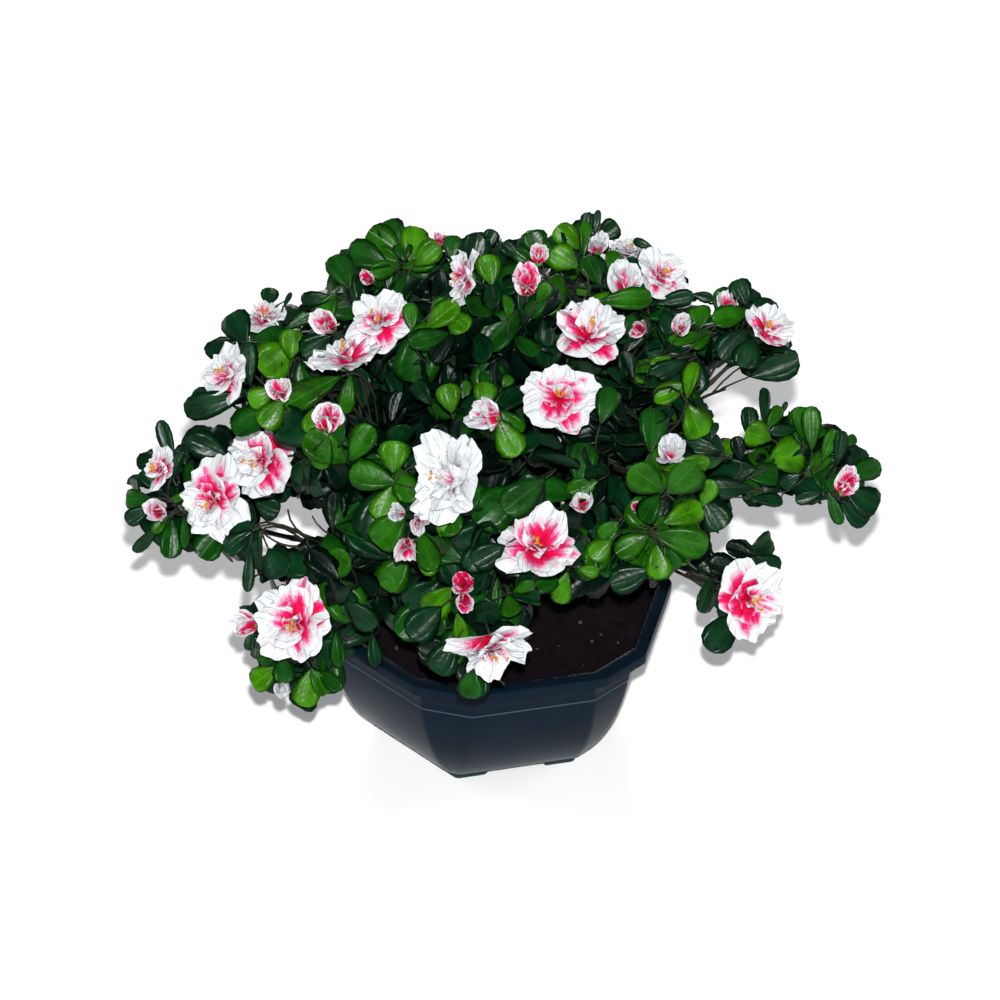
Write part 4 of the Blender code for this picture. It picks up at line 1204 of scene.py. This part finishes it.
# Single leaves along the twigs.
twig_of, place_of = np.nonzero(rng.random((twig_count, len(TWIG_LEAF_SHARES))) < 0.55)
twig_share = (TWIG_LEAF_SHARES[place_of] + rng.normal(0, 0.04, len(twig_of)))[:, None]
start, pull, end = twig_lines[:, twig_of]
heading = unit((pull - start) * (1 - twig_share) + (end - pull) * twig_share)
turn = twig_of * 1.7 + place_of * GOLDEN_TURN + rng.normal(0, 0.3, len(twig_of))
radial = around(heading, turn, (0.3, 0.2, 0.93))
single_along, single_normal = lifted_from(radial, heading, rng.uniform(0.3, 0.8, len(twig_of)))
single_tone = rng.choice((2, 3, 4), len(twig_of), p=(0.15, 0.45, 0.40))

# All leaves: those of the whorls, the single ones, and those set one by one in front.
base = np.concatenate((base, on_curve(start, pull, end, twig_share), front_base))
along = np.concatenate((along, single_along, front_along))
normal = np.concatenate((normal, single_normal, front_normal))
tone = np.concatenate((tone, single_tone, [TONE_NAMES.index(row[5]) for row in FRONT_LEAVES]))
length = np.concatenate((length, rng.uniform(0.024, 0.033, len(twig_of)), front_length))
total = len(base)
by_hand = slice(-len(FRONT_LEAVES), None)
half_width = length * rng.uniform(0.31, 0.39, total)
half_width[by_hand] = front_half
cup = rng.uniform(0.15, 0.60, total)
cup[by_hand] *= 0.7
curl = rng.normal(-0.25, 0.45, total)
curl[by_hand] *= 0.5
leaf_cloud = leaf_points(base, along, normal, length, half_width, cup, curl, rng.normal(0.0, 0.18, total))

# A leaf is left out that would stand in the ground or the pot, past the plant or its outline.
cloud_pixels = pixels_of(leaf_cloud)
cloud_depth = depth_of(leaf_cloud)
lowest = leaf_cloud[..., 2].min(1)
in_pot = (np.linalg.norm(leaf_cloud[..., :2], axis=-1).min(1) < POT_INSIDE) & (lowest < SOIL_TOP + 0.003)
past = np.abs(leaf_cloud - cad_box.mean(0)).max(1) - (cad_box[1] - cad_box[0]) / 2
keep = (lowest > GROUND_CLEAR) & ~in_pot & (past < ROOM).all(1)
keep &= leafy(cloud_pixels).mean(1) > SHOWS_LEAFY

# No leaf stands among the petals of a bloom, or between the eye and a bloom in front.
marks = np.stack((base, base + along * length[:, None] * 0.6, leaf_cloud[:, -1]), 1)
for place, axis, width in zip(bloom_place, bloom_axis, bloom_width):
    offset = marks - place
    rise = offset @ axis
    radius = np.linalg.norm(offset - rise[..., None] * axis, axis=-1)
    above = (rise > radius * 0.20 - 0.002) & (rise < PETALS_HIGH)
    keep &= ~(above & (radius < width * PETALS_WIDE)).any(1)
shown = slice(0, len(FRONT_BLOOMS))
spread = np.linalg.norm(pixels_of(marks)[:, :, None] - pixels_of(bloom_place[shown]), axis=-1)
nearer = depth_of(marks)[:, :, None] < depth_of(bloom_place[shown]) + 0.006
keep &= ~(nearer & (spread < bloom_width[shown] * BLOOM_PIXELS)).any((1, 2))


def covering(over, place):
    """Number of each leaf's points that show over an area, nearer to the eye than its place."""
    return (over & (cloud_depth < depth_of(place) + COVER_DEPTH)).sum(1)


# Nor does one stand between the eye and a bud in front, or a leaf set one by one.
bud_middle = (bud_place + bud_axis * bud_length[:, None] * 0.5)[:len(FRONT_BUDS)]
for place, reach in zip(bud_middle, bud_length * BUD_PIXELS):
    over = np.linalg.norm(cloud_pixels - pixels_of(place), axis=-1) < reach
    keep &= covering(over, place) < COVER_POINTS
for (x, y, tip_x, tip_y, width, _), place in zip(FRONT_LEAVES, front_base):
    span = np.array((tip_x - x, tip_y - y)) / 2
    reach = math.hypot(*span)
    offset = cloud_pixels - (x, y) - span
    lengthwise = offset @ span / reach ** 2
    crosswise = offset @ (-span[1], span[0]) / (reach * width / 2)
    keep &= covering(lengthwise ** 2 + crosswise ** 2 < 0.8, place) < COVER_POINTS
keep[by_hand] = True


def leaf_finish(name, colour, gloss):
    """Pressed cloth: the plain colour of its tone with uneven dye, painted shade that darkens the base and
    the rim, a paler rib, and veins painted paler as a highlight; rib and veins stand in relief."""
    finish = Finish(name, Specular_IOR_Level=gloss)
    dye = finish.grain(finish.place(), 70.0)
    darker, lighter, palest = (tuple(part * share for part in colour) for share in (0.55, 1.30, 1.9))
    finish.wear("Roughness", 0.20 + dye * 0.24)
    across, way, _ = finish.parts(finish.place("UV"))
    reach_out = abs(across * 2.0 - 1.0)
    ribs = ((way - reach_out * 0.30) * (math.tau * 6.5)).sine()
    rib = 1.0 - (reach_out * 9.0).least(1.0)
    finish.relief(ribs * 0.02 - rib * 0.35 + dye * 1.3, 0.0010, 0.6)
    dyed = finish.between(finish.step(dye, 0.3, 0.7), darker, lighter)
    # The rib is paler in its own colour, and the veins are painted paler as a painted highlight.
    veined = finish.between(rib * 0.40 + finish.step(ribs, 0.55, 1.0) * 0.16, dyed, palest)
    # Painted shade darkens the rim, where the cupped blade turns away from the light.
    rim_shaded = finish.between(finish.step(reach_out, 0.62, 1.0) * 0.55, veined, darker)
    # Painted shade darkens the base of each leaf.
    finish.wear("Base Color", finish.between(finish.step(way, 0.02, 0.42), darker, rim_shaded))
    return finish


underside = Finish("leaf_underside", Specular_IOR_Level=0.06)
pale = underside.mottle(80.0, (0.003, 0.016, 0.008), (0.008, 0.030, 0.014))
underside.wear("Roughness", 0.55 + pale * 0.2)

for number, (name, colour) in enumerate(LEAF_TONES.items()):
    finishes = [leaf_finish(f"leaf_{name}", colour, 0.13), underside]
    leaves = leaf_piece(f"leaves_{name}", leaf_cloud[keep & (tone == number)], finishes)
    if name == "dark":
        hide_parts(*[f"mass_{mass}" for mass in mass_names])


# ---------------------------------------------------------------- blooms
# Double blooms of printed cloth: ruffled white petals with a crimson throat that runs out in
# streaks, a tuft of orange-tipped stamens, and a small green calyx. Buds are the same, shut.
BLOOM_SEED = 61
PETAL_ROWS = np.array((0.0, 0.22, 0.42, 0.60, 0.77, 0.91, 1.0))
PETAL_ACROSS = np.linspace(-1.0, 1.0, 13)
PETAL_SHADES = ((0.780, 0.003, 0.065), (0.800, 0.016, 0.140), (0.800, 0.150, 0.340),
                (0.770, 0.500, 0.600), (0.720, 0.750, 0.770))
PLEAT_SCALE = (15.0, 1.8, 1.0)
# Painted shade darkens the hollows of the pleats by this share.
CREASE_SHADE = 0.62            # colour of the pleats' hollows over that of their backs
STAMENS = 7
STAMENS_OF_PALE = 3            # in a bloom with hardly any flush
THREAD_RADIUS = 0.00034
THREAD_RINGS = 6
THREAD_SIDES = 5
ANTHER_SIZE = np.array((0.0019, 0.0009, 0.0009))
SEPALS = 5
BLOOM_HINT = (0.37, 0.11, 0.92)
# Whorls of a bloom: length as a share of its radius, share of its flush, number of petals, how
# far they open at the base and the end in degrees, ruffle, breadth over length, and how far
# back they start. Whorls of a bud: share of its length, number, ruffle and breadth.
BLOOM_WHORLS = ((1.00, 0.95, 5, 40, 92, 0.070, 0.58, 0.0030), (0.88, 1.02, 5, 28, 74, 0.085, 0.56, 0.0015),
                (0.66, 0.85, 4, 14, 56, 0.120, 0.52, 0.0), (0.46, 0.45, 3, 5, 36, 0.150, 0.54, 0.0))
BUD_WHORLS = ((1.0, 5, 0.035, 0.50), (0.92, 4, 0.05, 0.46))


def petal_points(base, axis, radial, length, half_width, open_low, open_high, ruffle, rng):
    """Petals as open sheets. The rib leaves the axis at open_low and bends out to open_high;
    the half width grows as 1 - (1 - v)^2.2 and draws in at the end, which is rounded and cut
    into scallops; and folds deepen towards the petal's edge."""
    count = len(base)
    tangent = np.cross(axis, radial)
    v = PETAL_ROWS[None, :, None]
    u = PETAL_ACROSS[None, None, :]
    phase = rng.uniform(-0.5, 0.5, (2, count, 1, 1))
    scallops = rng.uniform(2.4, 3.3, (count, 1, 1)) * math.pi
    size, half_width, open_low, open_high, ruffle = (
        part[:, None, None] for part in (length, half_width, open_low, open_high, ruffle))
    opening = open_low + (open_high - open_low) * v ** 0.8
    wave = np.cos(scallops * u + phase[0] * 4)
    roll = np.cos(scallops * 0.55 * u + phase[1] * 5)
    frill = rng.normal(0.0, 1.0, (count, 1, len(PETAL_ACROSS)))
    ragged = 1 + v ** 4 * (0.036 * wave + 0.018 * roll + 0.009 * frill)
    pace = size * (1 - 0.36 * np.abs(u) ** 3.4) * ragged
    steps = np.diff(PETAL_ROWS, prepend=0.0)[None, :, None]
    out = np.cumsum(np.sin(opening) * steps, 1) * pace
    rise = np.cumsum(np.cos(opening) * steps, 1) * pace
    spread = half_width * (0.10 + 0.90 * (1 - (1 - v) ** 2.2)) * (1 - 0.14 * v ** 5)
    x = spread * u * (1 - 0.10 * v * np.abs(u))
    fold = ruffle * size * v ** 1.7 * (
        roll * (0.5 + 0.5 * np.abs(u)) + 0.5 * np.sin(2.3 * u + phase[1] * 6)
        + 0.35 * wave * v ** 2 + 0.08 * frill * v)
    z = 0.30 * x * x / np.maximum(half_width, 1e-6) * (1.15 - v) + fold
    out = out - z * np.cos(opening)
    rise = rise + z * np.sin(opening)
    points = (out[..., None] * radial[:, None, None] + rise[..., None] * axis[:, None, None]
              + x[..., None] * tangent[:, None, None])
    return (points + base[:, None, None]).reshape(count, -1, 3)


def petal_faces(count):
    """Quads of petals, whose points run along their rows one after another."""
    columns = len(PETAL_ACROSS)
    row, column = np.meshgrid(np.arange(len(PETAL_ROWS) - 1), np.arange(columns - 1), indexing="ij")
    corner = row * columns + column
    quads = np.stack((corner, corner + 1, corner + columns + 1, corner + columns), -1).reshape(-1, 4)
    return copies(quads, count, len(PETAL_ROWS) * columns)


def petal_fade(flush, length, half, rng):
    """Fade of each point of the petals, from 0 crimson to 1 white: the way from the throat over
    the bloom's radius, less the petal's flush and its seeded streaks, over the fade's width."""
    v = PETAL_ROWS[None, :, None] * (length / half)[:, None, None]
    u = PETAL_ACROSS[None, None, :]
    streak = rng.normal(0.0, 0.095, (len(flush), 1, len(PETAL_ACROSS)))
    reach = flush[:, None, None] * (1 - 0.62 * u * u)
    return np.clip((v - reach + streak + 0.14) / 0.30, 0.0, 1.0).reshape(len(flush), -1)


def whorl(place, axis, half, share, flush, number, low, high, ruffle, breadth, back, pale, blush):
    """One whorl of petals on each bloom: base, axis, radial, length, width, opening low and
    high, ruffle, flush and the bloom's radius of every petal. The palest petals have the share
    pale of the flush, which is strongest towards the blush."""
    count = len(place)
    whole = np.repeat(np.arange(count), number)
    step = np.tile(np.arange(number), count) / number * math.tau
    turn = step + rng.uniform(0, math.tau, count)[whole] + rng.normal(0, 0.14, len(whole))
    radial = around(axis[whole], turn, BLOOM_HINT)
    length = half[whole] * share * rng.uniform(0.84, 1.12, len(whole))
    width = length * breadth * rng.uniform(0.88, 1.12, len(whole))
    lean = rng.normal(0, 0.17, len(whole))
    opening = [np.radians(np.broadcast_to(angle, count))[whole] + lean for angle in (low, high)]
    ruffle = ruffle * rng.uniform(0.7, 1.3, len(whole))
    strength = 1 + 0.75 * (radial * blush[whole]).sum(1)
    tint = rng.choice((pale, 0.9, 1.0, 1.15), len(whole), p=(0.13, 0.29, 0.29, 0.29))
    flush = np.minimum(flush[whole] * strength * tint, 0.5 + 0.5 * flush[whole])
    base = (place - axis * back)[whole]
    return base, axis[whole], radial, length, width, *opening, ruffle, flush, half[whole]


rng = np.random.default_rng(BLOOM_SEED)
whorls = [whorl(bloom_place, bloom_axis, bloom_width / 2, share, bloom_flush * flush, number, low, high,
                ruffle, breadth, back, 0.5, bloom_blush)
          for share, flush, number, low, high, ruffle, breadth, back in BLOOM_WHORLS]
open_petals = sum(len(part[0]) for part in whorls)
opened = 16 + bud_spread * 62
bud_opening = ((30 * bud_spread + 8, opened), (20 * bud_spread, opened * 0.55))
whorls += [whorl(bud_place, bud_axis, bud_length, share, bud_flush, number, low, high, ruffle, breadth, 0.0,
                 0.8, np.zeros_like(bud_place))
           for (share, number, ruffle, breadth), (low, high) in zip(BUD_WHORLS, bud_opening)]
*petal_shape, petal_flush, petal_half = (np.concatenate(part) for part in zip(*whorls))
petal_cloud = petal_points(*petal_shape, rng)
fades = petal_fade(petal_flush, petal_shape[3], petal_half, rng)

petal_finishes = []
for number, (redder, paler) in enumerate(zip(PETAL_SHADES[:-1], PETAL_SHADES[1:])):
    cloth = Finish(f"petal_{number}", Specular_IOR_Level=0.12, Roughness=0.65)
    fade = cloth.add("ShaderNodeAttribute", {"attribute_name": "fade"}, output=2)
    share = cloth.step(fade, number / 4, number / 4 + 0.25)
    map_place = cloth.add("ShaderNodeMapping", sockets={"Vector": cloth.place("UV"), "Scale": PLEAT_SCALE})
    pleats = cloth.grain(map_place, 1.0, 3.0, 0.6, 0.4)
    # Painted shade: darker copies of both colours for the hollows of the pleats.
    crease_shade_colours = [tuple(CREASE_SHADE * part for part in shade) for shade in (redder, paler)]
    painted_crease_shade = cloth.between(share, *crease_shade_colours)
    raised = cloth.between(share, redder, paler)
    cloth.wear("Base Color", cloth.between(cloth.step(pleats, 0.34, 0.48), painted_crease_shade, raised))
    cloth.relief(pleats + cloth.grain(cloth.place(), 260.0) * 0.3, 0.0022, 0.9)
    petal_finishes.append(cloth)
for name, mine in (("petals", slice(0, open_petals)), ("bud_petals", slice(open_petals, None))):
    cloud = petal_cloud[mine]
    faces = petal_faces(len(cloud))
    shade = np.minimum(fades[mine].ravel()[faces].mean(1) * 4, 3).astype(int)
    chart = np.tile(chart_of(PETAL_ACROSS, PETAL_ROWS), (len(cloud), 1))
    piece(name, cloud, [faces], petal_finishes, "blossom", kinds=shade, chart=chart, fade=fades[mine])

# Stamens: pale threads that curve out of the throat, each with an orange anther.
thread_of = np.repeat(np.arange(len(bloom_place)), np.where(bloom_flush < 0.2, STAMENS_OF_PALE, STAMENS))
count = len(thread_of)
axis = bloom_axis[thread_of]
turn = rng.uniform(0, math.tau, len(bloom_place))[thread_of] + rng.normal(0, 0.6, count)
radial = around(axis, turn, BLOOM_HINT)
reach = bloom_width[thread_of, None] * rng.uniform(0.20, 0.32, (count, 1))
foot = bloom_place[thread_of]
pull = foot + axis * reach * 0.65 + radial * reach * 0.12
end = foot + axis * reach * 0.86 + radial * reach * rng.uniform(0.12, 0.42, (count, 1))
anther_points, anther_faces = scattered(rng, end, ANTHER_SIZE * rng.uniform(0.8, 1.2, (count, 1)))
thread = Finish("stamen_thread", Roughness=0.45)
thread.mottle(200.0, (0.75, 0.40, 0.35), (0.80, 0.62, 0.45))
anther = Finish("anther", Roughness=0.6)
anther.mottle(500.0, (0.42, 0.12, 0.004), (0.72, 0.34, 0.02))
thread_radii = np.full((count, THREAD_RINGS), THREAD_RADIUS)
limb_piece("stamen_threads", (foot, pull, end), thread_radii, THREAD_SIDES, thread, "stamens")
piece("anthers", anther_points, anther_faces, [anther], "stamens")

# Calyx: five small pointed green leaves round the foot of each bloom and bud.
calyx_place = np.concatenate((bloom_place - bloom_axis * 0.0045, bud_place - bud_axis * 0.0015))
calyx_axis = np.concatenate((bloom_axis, bud_axis))
calyx_size = np.concatenate((bloom_width * 0.16, bud_length * 0.42))
calyx_lift = np.radians(np.concatenate((np.full(len(bloom_place), 20.0), 74.0 - opened)))
sepal_of = np.repeat(np.arange(len(calyx_place)), SEPALS)
turn = np.tile(np.arange(SEPALS) * math.tau / SEPALS, len(calyx_place)) + rng.normal(0, 0.1, len(sepal_of))
axis = calyx_axis[sepal_of]
length = calyx_size[sepal_of]
sepal_way = lifted_from(around(axis, turn, BLOOM_HINT), axis, calyx_lift[sepal_of])
sepal_bend = (np.full(len(sepal_of), bend) for bend in (0.35, 0.5, 0.0))
sepals = leaf_points(calyx_place[sepal_of] - axis * 0.001, *sepal_way, length, length * 0.24, *sepal_bend)
leaf_piece("calyx_leaves", sepals, [leaf_finish("calyx", (0.10, 0.26, 0.05), 0.35)])


# ---------------------------------------------------------------- floor and light
# A white floor that glows more and more away from the plant: painted light that keeps the far floor white
# while the shadows near the plant stay dark. A lamp close above the lens lights the plant from in front, and
# soft panels and a pale surround fill the sides and the back.
FLOOR_HALF = 40.0
WHITE = (0.95, 0.95, 0.95)
LAMP_ABOVE = 0.085
LAMP_ASIDE = 0.008
LAMP_SIZE = 0.034
LAMP_STRENGTH = 12.8
LIT_PLACE = (0.0, 0.0, 0.18)
PANEL_SIZE = 1.1
PANELS = {"left_panel": ((-2.2, 0.7, 0.62), 3.4), "right_panel": ((2.2, 0.9, 0.62), 3.4),
          "back_panel": ((-0.3, 2.6, 0.70), 5.6)}          # place and strength
SURROUND_COLOUR = (0.93, 0.97, 1.0, 1.0)
SURROUND_STRENGTH = 0.16

ground = Finish("floor", Roughness=0.9, Specular_IOR_Level=0.1, Emission_Strength=1.0,
                Base_Color=(*WHITE, 1.0))
# Painted light: the floor's glow rises from none within 0.35 m of the plant to white at 3.5 m.
far = ground.add("ShaderNodeVectorMath", {"operation": "LENGTH"}, {0: ground.place()}, output=1)
ground.wear("Emission Color", ground.between(ground.step(far, 0.35, 3.5), (0.0, 0.0, 0.0), WHITE))
floor_mesh = bpy.data.meshes.new("floor")
floor_corners = [(x * FLOOR_HALF, y * FLOOR_HALF, 0.0) for x, y in ((-1, -1), (1, -1), (1, 1), (-1, 1))]
floor_mesh.from_pydata(floor_corners, [], [(0, 1, 2, 3)])
floor_mesh.materials.append(ground.material)
floor = bpy.data.objects.new("floor", floor_mesh)
bpy.context.scene.collection.objects.link(floor)


def lamp(name, place, size, strength):
    """Round soft lamp turned to the plant, whose light doesn't fall off with distance."""
    light = bpy.data.lights.new(name, "AREA")
    light.shape = "DISK"
    light.size = size
    light.energy = 1.0
    light.use_nodes = True
    tree = light.node_tree
    falloff = tree.nodes.new("ShaderNodeLightFalloff")
    falloff.inputs["Strength"].default_value = strength
    tree.links.new(falloff.outputs["Constant"], tree.nodes["Emission"].inputs["Strength"])
    holder = bpy.data.objects.new(name, light)
    holder.location = place
    holder.rotation_euler = (Vector(LIT_PLACE) - Vector(place)).to_track_quat("-Z", "Y").to_euler()
    bpy.context.scene.collection.objects.link(holder)


lamp("front_lamp", EYE + up * LAMP_ABOVE + right * LAMP_ASIDE, LAMP_SIZE, LAMP_STRENGTH)
for name, (place, strength) in PANELS.items():
    lamp(name, place, PANEL_SIZE, strength)

surround = bpy.data.worlds.new("surround")
surround.use_nodes = True
backdrop = surround.node_tree.nodes["Background"]
backdrop.inputs["Color"].default_value = SURROUND_COLOUR
backdrop.inputs["Strength"].default_value = SURROUND_STRENGTH
bpy.context.scene.world = surround
